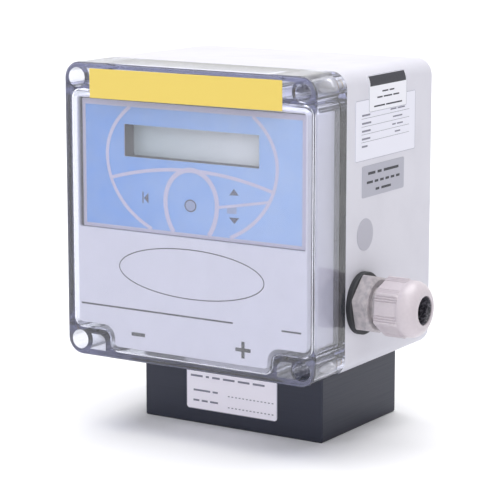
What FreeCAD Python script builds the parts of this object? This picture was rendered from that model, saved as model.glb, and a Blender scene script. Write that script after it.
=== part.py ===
import FreeCAD, Part
import math
import os

# Wall-mounted differential pressure transmitter: a moulded enclosure with a deep clear lid,
# a recessed keypad and display, and a machined manifold block with the two pressure ports.
# Millimetres. +X is to the viewer's right, +Y towards the wall, +Z up.
# The origin is the centre of the manifold block's foot.

Vec = FreeCAD.Vector

# ------------------------------------------------------------------ enclosure sizes
ENCLOSURE_WIDTH = 120.0
ENCLOSURE_HEIGHT = 122.0
CORNER_RADIUS = 7.0        # long edges, front to back
HOUSING_DEPTH = 71.5
HOUSING_WALL = 3.5
BACK_WALL = 3.5
DRAFT_DEG = 0.5            # the sides and top taper towards the wall
LID_DEPTH = 23.2
WINDOW = 2.2               # front plate of the lid
LID_FRONT_FILLET = 0.9
LID_INNER_FILLET = 1.5     # between the front plate and the walls, inside
POST_WIDTH = 21.5          # corner compartments, from the enclosure's outer faces
POST_HEIGHT = 12.2
POST_RADIUS = 4.2
POST_WALL = 3.2
POCKET_SKIN = 2.4          # lid skin outside the corner compartments
POCKET_CORNER = 3.2        # inner corner of each compartment of the lid
CHAMBER_ROUND = 3.0        # corners of the sealed chamber beside the posts
SEAT_GAP = 0.05            # faces that close on each other but belong to loose pieces

# ------------------------------------------------------------------ lid screws and fixings
SCREW_INSET = 6.3
WELL_RADIUS = 4.0
TUBE_WALL = 1.5
WELL_FLOOR = 4.5
LID_SCREW_RADIUS = 2.0
LID_SCREW_LENGTH = 16.0
LID_HEAD_RADIUS = 3.6
LID_HEAD_HEIGHT = 3.2
HOLE_CLEARANCE = 0.25      # round a screw that passes through
THREAD_CLEARANCE = 0.05    # round a screw in its thread
INSERT_RADIUS = 2.8
INSERT_LENGTH = 9.0
FIXING_INSET_X = 15.4
FIXING_INSET_Z = 6.2
FIXING_HOLE_RADIUS = 2.25
FIXING_CHANNEL_RADIUS = 3.8
FIXING_FLOOR = 4.0

# ------------------------------------------------------------------ seal of the lid
LID_THINNER = 1.3          # the lid's wall against the housing's; the groove lies inside it
GROOVE_WIDTH = 1.6
GROOVE_DEPTH = 3.0
GROOVE_FLOOR = 1.0
RIB_WALL = 0.8             # the lid lifts off past the cover, so it stays out of the gap round it
TONGUE_WIDTH = 0.8         # on the housing's rim, pressed into the seal
TONGUE_HEIGHT = 1.0

# ------------------------------------------------------------------ inner cover and keypad
COVER_GAP = 1.3            # between the cover and the lid's wall
COVER_FACE_GAP = 0.3       # behind the window
COVER_WALL = 2.0
COVER_SIDE_WALL = 1.4
COVER_DEPTH = 19.0
COVER_EDGE = 0.35          # rounding of its front edges
POCKET_DEPTH = 2.2         # keypad recess
POCKET_SIDE = 0.65         # rim beside the recess
POCKET_TOP = 0.9           # rim between the recess and the upper posts
POCKET_HEIGHT = 53.75
POCKET_ROUND = 1.0
SLIT_WIDTH = 0.7           # beside and above the keypad, so that its film drops in freely
SLIT_DEPTH = 3.0
OVERLAY_THICKNESS = 0.3
OVERLAY_GAP = 0.1          # under the film's lower edge
CATCH_WIDTH = 10.0
CATCH_THICKNESS = 2.0
CATCH_REACH = 6.5          # of the legs behind the rim
CATCH_HOOK = 1.5
CATCH_LOWER = 14.0         # the side legs stand below the middle, clear of the display board
LEDGE_DEPTH = 3.0
LEDGE_GAP = 0.8            # between a leg and its ledge

# ------------------------------------------------------------------ display and keys
GRAPHIC_X = -0.5           # the display and the keys share this centre line
DISPLAY_Z = 90.9           # above the enclosure's bottom
WINDOW_WIDTH = 64.7
WINDOW_HEIGHT = 13.2
DISPLAY_BEHIND = 7.2       # display glass behind the overlay's face
COLLAR_WALL = 0.8          # of the display's black collar, behind the window
COLLAR_GAP = 0.3           # round it and in front of it
GLASS_THICKNESS = 2.2
FRAME_WIDTH = 71.2
FRAME_HEIGHT = 24.3
FRAME_SHEET = 0.6
DISPLAY_STACK = 4.6        # from the face of the glass to the board
BOARD_THICKNESS = 1.6
DISPLAY_BOARD_WIDTH = 96.0
DISPLAY_BOARD_HEIGHT = 47.0
DISPLAY_BOARD_Z = 81.5     # its centre, above the enclosure's bottom
BOSS_INSET = 4.0
BOSS_RADIUS = 3.0
SMALL_SCREW_RADIUS = 1.25
SMALL_SCREW_LENGTH = 8.0
SMALL_HEAD_RADIUS = 2.4
SMALL_HEAD_HEIGHT = 1.8
SWITCH_SIZE = 6.0
SWITCH_HEIGHT = 3.6
PLUNGER_RADIUS = 1.7
PLUNGER_FLANGE = 2.3
PLUNGER_GAP = 0.3
KEY_TRAVEL = 0.25
KEYS = {
    "left": (-21.9, 68.0),
    "centre": (0.0, 66.7),
    "up": (20.5, 73.7),
    "down": (20.6, 62.9),
}

# ------------------------------------------------------------------ main board
MAIN_BOARD_WIDTH = 100.0
MAIN_BOARD_HEIGHT = 44.0
MAIN_BOARD_Z = 82.0        # its centre, above the enclosure's bottom
MAIN_BOARD_STANDOFF = 12.0
TERMINAL_PITCH = 5.08
TERMINAL_WAYS = 6
TERMINAL_HEIGHT = 10.0
TERMINAL_DEPTH = 13.0
TERMINAL_X = 26.0
TERMINAL_MARGIN = 1.5
TERMINAL_SCREW_RADIUS = 1.8
CHIP_SIZE = 14.0
CHIP_HEIGHT = 2.4
POWER_WIDTH = 24.0
POWER_HEIGHT = 18.0
POWER_DEPTH = 11.0
POWER_ROUND = 1.0
CAPACITOR_RADIUS = 4.0
CAPACITOR_LENGTH = 12.0
CAPACITOR_PITCH = 10.0
HEADER_LENGTH = 20.0
HEADER_HEIGHT = 8.8
HEADER_DEPTH = 6.5
RIBBON_WIDTH = 15.0
RIBBON_THICKNESS = 0.9
RIBBON_BEND = 4.0
HEADER_INSET = 18.0        # its middle, from the display board's left edge

# ------------------------------------------------------------------ manifold block
BLOCK_WIDTH = 88.0
BLOCK_DEPTH = 62.0
BLOCK_HEIGHT = 32.0
BLOCK_CHAMFER = 0.6
PORT_SPACING = 54.0
PORT_RADIUS = 5.72         # tapping bore of a G1/4 port
PORT_LENGTH = 14.0
PORT_FACE_RADIUS = 9.5
PORT_FACE_DEPTH = 0.5
PASSAGE_RADIUS = 1.5
SEAL_RADIUS = 4.1
SEAL_SECTION = 0.7
SEAL_GROOVE_DEPTH = 1.4
SEAL_GROOVE_HALF = 0.95

# ------------------------------------------------------------------ differential pressure cell
CELL_RADIUS = 23.0
CELL_THICKNESS = 13.5
CELL_CHAMFER = 1.0
CELL_CENTRE = 26.5         # above the floor inside
CELL_RECESS_RADIUS = 18.0
CELL_RECESS_DEPTH = 0.4
DIAPHRAGM_THICKNESS = 1.0
CROSS_BORE_Z = 10.5        # above the floor inside
FOOT_INNER = 12.0
FOOT_OUTER = 35.4
FOOT_HALF_DEPTH = 14.0
FOOT_HEIGHT = 15.0
SPIGOT_RADIUS = 6.0
SPIGOT_GAP = 0.2
CLAMP_CIRCLE = 20.5
CLAMP_SCREW_RADIUS = 1.5
CLAMP_HEAD_RADIUS = 2.6
CLAMP_HEAD_HEIGHT = 2.5
CLAMP_SCREW_SHORT = 1.0    # the screws end inside the far half
CLAMP_ANGLES = (30, 90, 150, 210, 330)
BLOCK_SCREW_RADIUS = 2.5
BLOCK_SCREW_X = 31.0
BLOCK_SCREW_Y = 9.0
BLOCK_SCREW_DEPTH = 14.0
BLOCK_HEAD_RADIUS = 4.25
BLOCK_HEAD_HEIGHT = 5.0
SOCKET_SHARE = 0.55        # of a socket head's radius

# ------------------------------------------------------------------ cable gland
GLAND_Y = 13.0             # behind the housing's rim
GLAND_Z = 28.2             # above the enclosure's bottom
GLAND_THREAD_RADIUS = 8.0
GLAND_THREAD_REACH = 10.0
GLAND_BORE = 5.6
WASHER_RADIUS = 12.7
WASHER_THICKNESS = 2.4
GLAND_FLATS = 22.0
HEX_LENGTH = 6.0
HEX_TURN_DEG = 45.3
HEX_CHAMFER = 1.5
HEX_CHAMFER_DROP = 2.2
HEX_CORNER_RADIUS = 12.4
GLAND_LEAD = 0.8           # chamfers at the ends of the gland's thread
GLAND_OVERLAP = 1.0        # how far the neck runs into the hexagon
NECK_RADIUS = 9.0
NECK_GAP = 3.1             # neck left bare between the hexagon and the nut
NECK_LENGTH = 11.7
RELIEF_WIDTH = 1.4         # turned down beside the hexagon, where the thread ends
RELIEF_DEPTH = 1.2
CLAW_LENGTH = 3.3
CLAW_WALL = 1.4
CLAW_TIP_RADIUS = 8.0
CLAW_COUNT = 8
CLAW_SLOT = 0.9
NUT_FLATS = 21.0
NUT_CORNER_RADIUS = 12.3
NUT_TURN_DEG = 24.5
NUT_HEX_LENGTH = 10.0
NUT_CHAMFER = 1.2
NUT_BREAK = 0.5            # broken edge towards the housing
NUT_MERGE = 1.0            # how far the hexagon runs into the dome
NUT_MERGE_DROP = 0.6
NUT_DOME_RADIUS = 11.3
NUT_DOME_BULGE = (0.76, 0.33)  # a point of the dome, in shares of its length and of its fall
NUT_LENGTH = 17.2
NUT_FACE_RADIUS = 7.4
NUT_OPENING = 5.9
NUT_BORE_GAP = 0.15
NUT_FRONT_WALL = 1.9
RIB_OFFSETS = (3.0, 4.0, 5.0)
RIB_DEPTH = 0.35
SLEEVE_GAP = 0.1
SLEEVE_BORE = 5.1
SLEEVE_LENGTH = 12.5
SLEEVE_LEAD = 0.4          # how far the inner mouth widens
SLEEVE_BEVEL = 1.0
SNOUT_SHORT = 0.4          # the sleeve's snout ends inside the nut's opening
SNOUT_MOUTH = 5.6
SNOUT_MOUTH_DEPTH = 1.5
LOCKNUT_FLATS = 21.0
LOCKNUT_LENGTH = 5.0

# ------------------------------------------------------------------ labels
LABEL_THICKNESS = 0.15
LABEL_ROUND = 0.8
CALIBRATION_ROUND = 1.6
TAPE_WIDTH = 91.9
TAPE_HEIGHT = 12.0
TAPE_X = -1.25
TAPE_Z = 113.85            # its centre, above the enclosure's bottom
TAPE_TILT_DEG = -0.3       # stuck on by hand, its right end a little high

# label: start and end behind the housing's rim, start and end above the enclosure's bottom
SIDE_LABELS = {
    "supplier_label": (17.4, 48.8, 104.4, 119.0),
    "rating_label": (6.6, 56.8, 85.5, 109.8),
    "service_label": (12.5, 47.5, 70.5, 83.2),
}
ROUND_LABEL_Y = 15.3
ROUND_LABEL_Z = 55.6
ROUND_LABEL_RADIUS = 6.5
CALIBRATION_HALF = 22.5
CALIBRATION_BOTTOM = 6.2
CALIBRATION_TOP = 29.6

# ------------------------------------------------------------------ worked-out places
BACK_Y = BLOCK_DEPTH / 2
RIM_Y = BACK_Y - HOUSING_DEPTH
FRONT_Y = RIM_Y - LID_DEPTH
BOTTOM_Z = BLOCK_HEIGHT
TOP_Z = BOTTOM_Z + ENCLOSURE_HEIGHT
MID_Z = (BOTTOM_Z + TOP_Z) / 2
HALF_WIDTH = ENCLOSURE_WIDTH / 2
HALF_HEIGHT = ENCLOSURE_HEIGHT / 2
FLOOR_Z = BOTTOM_Z + HOUSING_WALL
INNER_BACK_Y = BACK_Y - BACK_WALL
CORNERS = [(sx, sz) for sx in (-1, 1) for sz in (-1, 1)]

COVER_FACE_Y = FRONT_Y + WINDOW + COVER_FACE_GAP
OVERLAY_Y = COVER_FACE_Y + POCKET_DEPTH
POCKET_FLOOR_Y = OVERLAY_Y + OVERLAY_THICKNESS
COVER_HALF_X = HALF_WIDTH - HOUSING_WALL - COVER_GAP
POCKET_HALF_X = COVER_HALF_X - POCKET_SIDE
POCKET_TOP_Z = TOP_Z - POST_HEIGHT - COVER_GAP - POCKET_TOP
POCKET_BOTTOM_Z = POCKET_TOP_Z - POCKET_HEIGHT
GLASS_Y = OVERLAY_Y + DISPLAY_BEHIND
DISPLAY_BOARD_Y = GLASS_Y + DISPLAY_STACK
DISPLAY_MID_Z = BOTTOM_Z + DISPLAY_Z
MAIN_BOARD_BACK_Y = INNER_BACK_Y - MAIN_BOARD_STANDOFF
MAIN_BOARD_FRONT_Y = MAIN_BOARD_BACK_Y - BOARD_THICKNESS
MAIN_BOARD_MID_Z = BOTTOM_Z + MAIN_BOARD_Z
DISPLAY_BOARD_MID_Z = BOTTOM_Z + DISPLAY_BOARD_Z
GLAND_AXIS_Y = RIM_Y + GLAND_Y
GLAND_AXIS_Z = BOTTOM_Z + GLAND_Z
HEX_X = HALF_WIDTH + WASHER_THICKNESS
NECK_X = HEX_X + HEX_LENGTH
NUT_X = NECK_X + NECK_GAP
NUT_END_X = NUT_X + NUT_LENGTH
CELL_Z = FLOOR_Z + CELL_CENTRE


# ------------------------------------------------------------------ building helpers
def box(x0, x1, y0, y1, z0, z1):
    return Part.makeBox(x1 - x0, y1 - y0, z1 - z0, Vec(x0, y0, z0))


def cylinder_x(x0, x1, y, z, radius):
    return Part.makeCylinder(radius, x1 - x0, Vec(x0, y, z), Vec(1, 0, 0))


def cylinder_y(y0, y1, x, z, radius):
    return Part.makeCylinder(radius, y1 - y0, Vec(x, y0, z), Vec(0, 1, 0))


def cylinder_z(z0, z1, x, y, radius):
    return Part.makeCylinder(radius, z1 - z0, Vec(x, y, z0), Vec(0, 0, 1))


def rounded_wire(x0, x1, z0, z1, y, radius):
    """A rectangle with rounded corners, upright in the plane at y."""
    half = math.sqrt(0.5) * radius
    points = []
    for cx, cz, dx, dz in (
        (x1 - radius, z1 - radius, 1, 1),
        (x0 + radius, z1 - radius, -1, 1),
        (x0 + radius, z0 + radius, -1, -1),
        (x1 - radius, z0 + radius, 1, -1),
    ):
        side = Vec(cx + dx * radius, y, cz)
        end = Vec(cx, y, cz + dz * radius)
        middle = Vec(cx + dx * half, y, cz + dz * half)
        points.append((side, middle, end) if dx == dz else (end, middle, side))
    edges = []
    for index, (start, middle, end) in enumerate(points):
        edges.append(Part.Arc(start, middle, end).toShape())
        edges.append(Part.makeLine(end, points[(index + 1) % 4][0]))
    return Part.Wire(edges)


def rounded_slab(x0, x1, z0, z1, y0, y1, radius):
    face = Part.Face(rounded_wire(x0, x1, z0, z1, y0, radius))
    return face.extrude(Vec(0, y1 - y0, 0))


def revolve_x(points, y, z):
    """A solid of revolution about the line along X at y, z. Points are (x, radius)."""
    corners = [Vec(px, y, z + pr) for px, pr in points]
    face = Part.Face(Part.makePolygon(corners + corners[:1]))
    return face.revolve(Vec(0, y, z), Vec(1, 0, 0), 360)


def hexagon_x(x0, x1, y, z, flats, turn_deg):
    radius = flats / math.sqrt(3)
    corners = []
    for step in range(7):
        angle = math.radians(turn_deg + 60 * step)
        corners.append(Vec(x0, y + radius * math.cos(angle), z + radius * math.sin(angle)))
    return Part.Face(Part.makePolygon(corners)).extrude(Vec(x1 - x0, 0, 0))


def corner_block(width, height, radius, side_x, side_z, y0, y1):
    """A post that fills one corner of the enclosure, with its inner corner rounded."""
    beyond = CORNER_RADIUS + radius
    xs = sorted((side_x * (HALF_WIDTH - width), side_x * (HALF_WIDTH + beyond)))
    zs = sorted((MID_Z + side_z * (HALF_HEIGHT - height), MID_Z + side_z * (HALF_HEIGHT + beyond)))
    return rounded_slab(xs[0], xs[1], zs[0], zs[1], y0, y1, radius)


def chamber(inset, y0, y1):
    """The sealed space: a rectangle with a corner post taken out of each corner."""
    half_x = HALF_WIDTH - HOUSING_WALL - inset
    half_z = HALF_HEIGHT - HOUSING_WALL - inset
    solid = box(-half_x, half_x, y0, y1, MID_Z - half_z, MID_Z + half_z)
    for side_x, side_z in CORNERS:
        post = corner_block(
            POST_WIDTH + inset, POST_HEIGHT + inset, POST_RADIUS + inset, side_x, side_z, y0, y1
        )
        solid = solid.cut(post)
    sharp = []
    for edge in solid.Edges:
        centre = edge.CenterOfMass
        along_y = edge.BoundBox.YLength > (y1 - y0) / 2
        at_wall = abs(abs(centre.x) - half_x) < 1e-3 or abs(abs(centre.z - MID_Z) - half_z) < 1e-3
        if along_y and at_wall:
            sharp.append(edge)
    return solid.makeFillet(CHAMBER_ROUND - inset, sharp)


def envelope(outset):
    """The housing's outer form, tapered towards the wall but level along its bottom."""
    taper = HOUSING_DEPTH * math.tan(math.radians(DRAFT_DEG))
    sections = []
    for y, narrow in ((RIM_Y, 0.0), (BACK_Y, taper)):
        half = HALF_WIDTH - narrow + outset
        sections.append(
            rounded_wire(
                -half, half, BOTTOM_Z - outset, TOP_Z - narrow + outset, y, CORNER_RADIUS + outset
            )
        )
    return Part.makeLoft(sections, True, True)


def screw_places(inset_x, inset_z):
    return [(sx * (HALF_WIDTH - inset_x), MID_Z + sz * (HALF_HEIGHT - inset_z)) for sx, sz in CORNERS]


def board_holes(width, height, mid_z):
    return [
        (sx * (width / 2 - BOSS_INSET), mid_z + sz * (height / 2 - BOSS_INSET)) for sx, sz in CORNERS
    ]


def pan_screw(x, z, head_y, length, direction):
    """A small cross-head screw along Y. Its head's seat is at head_y."""
    shank = Part.makeCylinder(SMALL_SCREW_RADIUS, length, Vec(x, head_y, z), Vec(0, direction, 0))
    head = Part.makeCylinder(
        SMALL_HEAD_RADIUS, SMALL_HEAD_HEIGHT, Vec(x, head_y, z), Vec(0, -direction, 0)
    )
    top_y = head_y - direction * SMALL_HEAD_HEIGHT
    rim = [edge for edge in head.Edges if abs(edge.CenterOfMass.y - top_y) < 1e-6 and edge.Closed]
    head = head.makeChamfer(SMALL_HEAD_HEIGHT / 3, rim)
    slot = SMALL_HEAD_RADIUS / 4
    reach = SMALL_HEAD_RADIUS * 0.6
    ys = sorted((top_y, top_y + direction * SMALL_HEAD_HEIGHT / 2))
    cross = box(x - slot, x + slot, ys[0], ys[1], z - reach, z + reach)
    cross = cross.fuse(box(x - reach, x + reach, ys[0], ys[1], z - slot, z + slot))
    return shank.fuse(head.cut(cross)).removeSplitter()


# ------------------------------------------------------------------ enclosure
def catch_places():
    """Middle of each snap leg on the cover: x, z and the outward direction."""
    side = HALF_WIDTH - HOUSING_WALL
    level = HALF_HEIGHT - HOUSING_WALL
    return [
        (-side, MID_Z - CATCH_LOWER, -1, 0),
        (side, MID_Z - CATCH_LOWER, 1, 0),
        (0.0, MID_Z - level, 0, -1),
        (0.0, MID_Z + level, 0, 1),
    ]


def catch_box(place, inner, outer, y0, y1, width):
    """A box at one catch, from inner to outer, both measured inwards from the chamber's wall."""
    x, z, dx, dz = place
    if dx:
        xs = sorted((x - dx * inner, x - dx * outer))
        return box(xs[0], xs[1], y0, y1, z - width / 2, z + width / 2)
    zs = sorted((z - dz * inner, z - dz * outer))
    return box(x - width / 2, x + width / 2, y0, y1, zs[0], zs[1])


def leg_face():
    return COVER_GAP + COVER_WALL


def rear_housing():
    body = envelope(0.0).cut(chamber(0.0, RIM_Y, INNER_BACK_Y))
    tongue = chamber(-TONGUE_WIDTH, RIM_Y - TONGUE_HEIGHT, RIM_Y)
    tongue = tongue.cut(chamber(0.0, RIM_Y - TONGUE_HEIGHT, RIM_Y))
    body = body.fuse(tongue)
    for place in catch_places():
        ledge = catch_box(
            place, 0.0, leg_face() - LEDGE_GAP, RIM_Y, RIM_Y + LEDGE_DEPTH, CATCH_WIDTH + 2 * LEDGE_DEPTH
        )
        body = body.fuse(ledge)
    for x, z in board_holes(MAIN_BOARD_WIDTH, MAIN_BOARD_HEIGHT, MAIN_BOARD_MID_Z):
        post_end = INNER_BACK_Y + BACK_WALL / 2
        body = body.fuse(cylinder_y(MAIN_BOARD_BACK_Y, post_end, x, z, BOSS_RADIUS))
    for x, z in board_holes(MAIN_BOARD_WIDTH, MAIN_BOARD_HEIGHT, MAIN_BOARD_MID_Z):
        hole_end = MAIN_BOARD_BACK_Y + SMALL_SCREW_LENGTH
        radius = SMALL_SCREW_RADIUS + THREAD_CLEARANCE
        body = body.cut(cylinder_y(MAIN_BOARD_BACK_Y, hole_end, x, z, radius))
    for x, z in screw_places(SCREW_INSET, SCREW_INSET):
        body = body.cut(cylinder_y(RIM_Y, RIM_Y + INSERT_LENGTH, x, z, INSERT_RADIUS))
        depth = LID_SCREW_LENGTH + HOLE_CLEARANCE
        body = body.cut(cylinder_y(RIM_Y, RIM_Y + depth, x, z, LID_SCREW_RADIUS + HOLE_CLEARANCE))
    for x, z in screw_places(FIXING_INSET_X, FIXING_INSET_Z):
        body = body.cut(cylinder_y(RIM_Y, BACK_Y - FIXING_FLOOR, x, z, FIXING_CHANNEL_RADIUS))
        body = body.cut(cylinder_y(RIM_Y, BACK_Y, x, z, FIXING_HOLE_RADIUS))
    body = body.cut(
        cylinder_x(0.0, HALF_WIDTH, GLAND_AXIS_Y, GLAND_AXIS_Z, GLAND_THREAD_RADIUS + THREAD_CLEARANCE)
    )
    for side in (-1, 1):
        x = side * PORT_SPACING / 2
        body = body.cut(cylinder_z(BOTTOM_Z, FLOOR_Z, x, 0.0, SPIGOT_RADIUS + SPIGOT_GAP))
        for y in (-BLOCK_SCREW_Y, BLOCK_SCREW_Y):
            radius = BLOCK_SCREW_RADIUS + HOLE_CLEARANCE
            body = body.cut(cylinder_z(BOTTOM_Z, FLOOR_Z, side * BLOCK_SCREW_X, y, radius))
    return body.removeSplitter()


def clear_lid():
    end_y = RIM_Y - SEAT_GAP
    body = rounded_slab(-HALF_WIDTH, HALF_WIDTH, BOTTOM_Z, TOP_Z, FRONT_Y, end_y, CORNER_RADIUS)
    front = [edge for edge in body.Edges if edge.BoundBox.YMax < FRONT_Y + 1e-6]
    body = body.makeFillet(LID_FRONT_FILLET, front)
    inside_y = FRONT_Y + WINDOW
    rib_y = RIM_Y - GROOVE_DEPTH - GROOVE_FLOOR
    hollow = chamber(-LID_THINNER, inside_y, rib_y)
    rim = [edge for edge in hollow.Edges if edge.BoundBox.YMax < inside_y + 1e-6]
    body = body.cut(hollow.makeFillet(LID_INNER_FILLET, rim))
    body = body.cut(chamber(GROOVE_WIDTH - LID_THINNER + RIB_WALL, rib_y, RIM_Y))
    body = body.cut(seal_ring(RIM_Y - GROOVE_DEPTH, RIM_Y))
    for side_x, side_z in CORNERS:
        pocket = corner_block(
            POST_WIDTH - POST_WALL, POST_HEIGHT - POST_WALL, POCKET_CORNER, side_x, side_z,
            inside_y, RIM_Y,
        )
        inner = rounded_slab(
            POCKET_SKIN - HALF_WIDTH, HALF_WIDTH - POCKET_SKIN, BOTTOM_Z + POCKET_SKIN,
            TOP_Z - POCKET_SKIN, inside_y, RIM_Y, CORNER_RADIUS - POCKET_SKIN,
        )
        x = side_x * (HALF_WIDTH - SCREW_INSET)
        z = MID_Z + side_z * (HALF_HEIGHT - SCREW_INSET)
        tube = cylinder_y(inside_y, RIM_Y, x, z, WELL_RADIUS + TUBE_WALL)
        body = body.cut(pocket.common(inner).cut(tube))
        body = body.cut(cylinder_y(FRONT_Y, RIM_Y - WELL_FLOOR, x, z, WELL_RADIUS))
        body = body.cut(cylinder_y(FRONT_Y, RIM_Y, x, z, LID_SCREW_RADIUS + HOLE_CLEARANCE))
    return body.removeSplitter()


def seal_ring(y0, y1):
    return chamber(-LID_THINNER, y0, y1).cut(chamber(GROOVE_WIDTH - LID_THINNER, y0, y1))


def lid_seal():
    """Foam that fills the groove and reaches down outside the housing's tongue."""
    tongue_y = RIM_Y - TONGUE_HEIGHT - SEAT_GAP
    skirt = chamber(-LID_THINNER, tongue_y, RIM_Y - SEAT_GAP)
    skirt = skirt.cut(chamber(-TONGUE_WIDTH - SEAT_GAP, tongue_y, RIM_Y))
    return seal_ring(RIM_Y - GROOVE_DEPTH, tongue_y).fuse(skirt).removeSplitter()


def lid_screws():
    screws = []
    seat = RIM_Y - WELL_FLOOR
    for x, z in screw_places(SCREW_INSET, SCREW_INSET):
        head = cylinder_y(seat - LID_HEAD_HEIGHT, seat, x, z, LID_HEAD_RADIUS)
        top = [e for e in head.Edges if e.Closed and e.BoundBox.YMax < seat - LID_HEAD_HEIGHT + 1e-6]
        head = head.makeChamfer(LID_HEAD_HEIGHT / 6, top)
        slot = LID_HEAD_RADIUS / 6
        head = head.cut(
            box(
                x - LID_HEAD_RADIUS, x + LID_HEAD_RADIUS, seat - LID_HEAD_HEIGHT,
                seat - LID_HEAD_HEIGHT / 2, z - slot, z + slot,
            )
        )
        shank = cylinder_y(seat, seat + LID_SCREW_LENGTH, x, z, LID_SCREW_RADIUS)
        screws.append(head.fuse(shank).removeSplitter())
    return Part.makeCompound(screws)


def thread_inserts():
    inserts = []
    for x, z in screw_places(SCREW_INSET, SCREW_INSET):
        sleeve = cylinder_y(RIM_Y, RIM_Y + INSERT_LENGTH, x, z, INSERT_RADIUS)
        bore = cylinder_y(RIM_Y, RIM_Y + INSERT_LENGTH, x, z, LID_SCREW_RADIUS + THREAD_CLEARANCE)
        inserts.append(sleeve.cut(bore))
    return Part.makeCompound(inserts)


# ------------------------------------------------------------------ inner cover, keypad, display
def pocket_slab(inset, y0, y1):
    return rounded_slab(
        inset - POCKET_HALF_X, POCKET_HALF_X - inset, POCKET_BOTTOM_Z + inset, POCKET_TOP_Z - inset,
        y0, y1, POCKET_ROUND,
    )


def key_places():
    return {name: (GRAPHIC_X + x, BOTTOM_Z + z) for name, (x, z) in KEYS.items()}


def keypad_slab(bottom_z, y0, y1):
    """The keypad's own outline: the recess without the slit beside and above it."""
    half_x = POCKET_HALF_X - SLIT_WIDTH
    top_z = POCKET_TOP_Z - SLIT_WIDTH
    return rounded_slab(-half_x, half_x, bottom_z, top_z, y0, y1, POCKET_ROUND / 2)


def display_window(outset, y0, y1):
    half_x = WINDOW_WIDTH / 2 + outset
    half_z = WINDOW_HEIGHT / 2 + outset
    return rounded_slab(
        GRAPHIC_X - half_x, GRAPHIC_X + half_x, DISPLAY_MID_Z - half_z, DISPLAY_MID_Z + half_z,
        y0, y1, POCKET_ROUND / 2 + outset,
    )


def inner_cover():
    end_y = COVER_FACE_Y + COVER_DEPTH
    floor_end_y = POCKET_FLOOR_Y + COVER_WALL
    body = chamber(COVER_GAP, COVER_FACE_Y, end_y)
    front = [edge for edge in body.Edges if edge.BoundBox.YMax < COVER_FACE_Y + 1e-6]
    body = body.makeFillet(COVER_EDGE, front)
    body = body.cut(chamber(COVER_GAP + COVER_SIDE_WALL, COVER_FACE_Y + COVER_WALL, end_y))
    tray_y = COVER_FACE_Y + COVER_WALL / 2
    tray = rounded_slab(
        -POCKET_HALF_X - COVER_WALL / 2, POCKET_HALF_X + COVER_WALL / 2,
        POCKET_BOTTOM_Z - COVER_WALL, POCKET_TOP_Z + COVER_WALL / 2,
        tray_y, floor_end_y, POCKET_ROUND,
    )
    curb = pocket_slab(-COVER_WALL / 2, tray_y, POCKET_FLOOR_Y + SLIT_DEPTH + COVER_WALL / 2)
    curb = curb.cut(pocket_slab(SLIT_WIDTH + COVER_WALL, tray_y, end_y))
    body = body.fuse(tray.fuse(curb).common(chamber(COVER_GAP, COVER_FACE_Y, end_y)))
    body = body.cut(pocket_slab(0.0, COVER_FACE_Y, POCKET_FLOOR_Y))
    slit = pocket_slab(0.0, POCKET_FLOOR_Y, POCKET_FLOOR_Y + SLIT_DEPTH)
    body = body.cut(slit.cut(keypad_slab(POCKET_BOTTOM_Z - COVER_WALL, POCKET_FLOOR_Y, end_y)))
    body = body.cut(display_window(COLLAR_WALL + 2 * COLLAR_GAP, COVER_FACE_Y, end_y))
    for x, z in key_places().values():
        radius = PLUNGER_RADIUS + 2 * PLUNGER_GAP
        body = body.cut(cylinder_y(POCKET_FLOOR_Y, floor_end_y, x, z, radius))
    leg_start = floor_end_y - COVER_WALL / 2
    for x, z in board_holes(DISPLAY_BOARD_WIDTH, DISPLAY_BOARD_HEIGHT, DISPLAY_BOARD_MID_Z):
        body = body.fuse(cylinder_y(leg_start, DISPLAY_BOARD_Y, x, z, BOSS_RADIUS))
    for x, z in board_holes(DISPLAY_BOARD_WIDTH, DISPLAY_BOARD_HEIGHT, DISPLAY_BOARD_MID_Z):
        radius = SMALL_SCREW_RADIUS + THREAD_CLEARANCE
        start = DISPLAY_BOARD_Y + BOARD_THICKNESS - SMALL_SCREW_LENGTH
        body = body.cut(cylinder_y(start, DISPLAY_BOARD_Y, x, z, radius))
    leg_end = RIM_Y + CATCH_REACH
    for place in catch_places():
        leg = catch_box(
            place, leg_face(), leg_face() + CATCH_THICKNESS, leg_start, leg_end, CATCH_WIDTH
        )
        root = catch_box(
            place, COVER_GAP + COVER_WALL / 2, leg_face() + CATCH_THICKNESS / 2, leg_start, end_y,
            CATCH_WIDTH,
        )
        hook = catch_box(
            place, leg_face() - CATCH_HOOK, leg_face() + CATCH_THICKNESS / 2,
            RIM_Y + LEDGE_DEPTH + SEAT_GAP, leg_end, CATCH_WIDTH,
        )
        body = body.fuse(leg).fuse(root).fuse(hook)
    return body.removeSplitter()


def keypad_overlay():
    film = keypad_slab(POCKET_BOTTOM_Z + OVERLAY_GAP, OVERLAY_Y, POCKET_FLOOR_Y)
    return film.cut(display_window(0.0, OVERLAY_Y, POCKET_FLOOR_Y))


def display_board():
    half_x = DISPLAY_BOARD_WIDTH / 2
    half_z = DISPLAY_BOARD_HEIGHT / 2
    board = rounded_slab(
        -half_x, half_x, DISPLAY_BOARD_MID_Z - half_z, DISPLAY_BOARD_MID_Z + half_z,
        DISPLAY_BOARD_Y, DISPLAY_BOARD_Y + BOARD_THICKNESS, BOARD_THICKNESS,
    )
    for x, z in board_holes(DISPLAY_BOARD_WIDTH, DISPLAY_BOARD_HEIGHT, DISPLAY_BOARD_MID_Z):
        radius = SMALL_SCREW_RADIUS + HOLE_CLEARANCE
        end_y = DISPLAY_BOARD_Y + BOARD_THICKNESS
        board = board.cut(cylinder_y(DISPLAY_BOARD_Y, end_y, x, z, radius))
    return board


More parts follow.
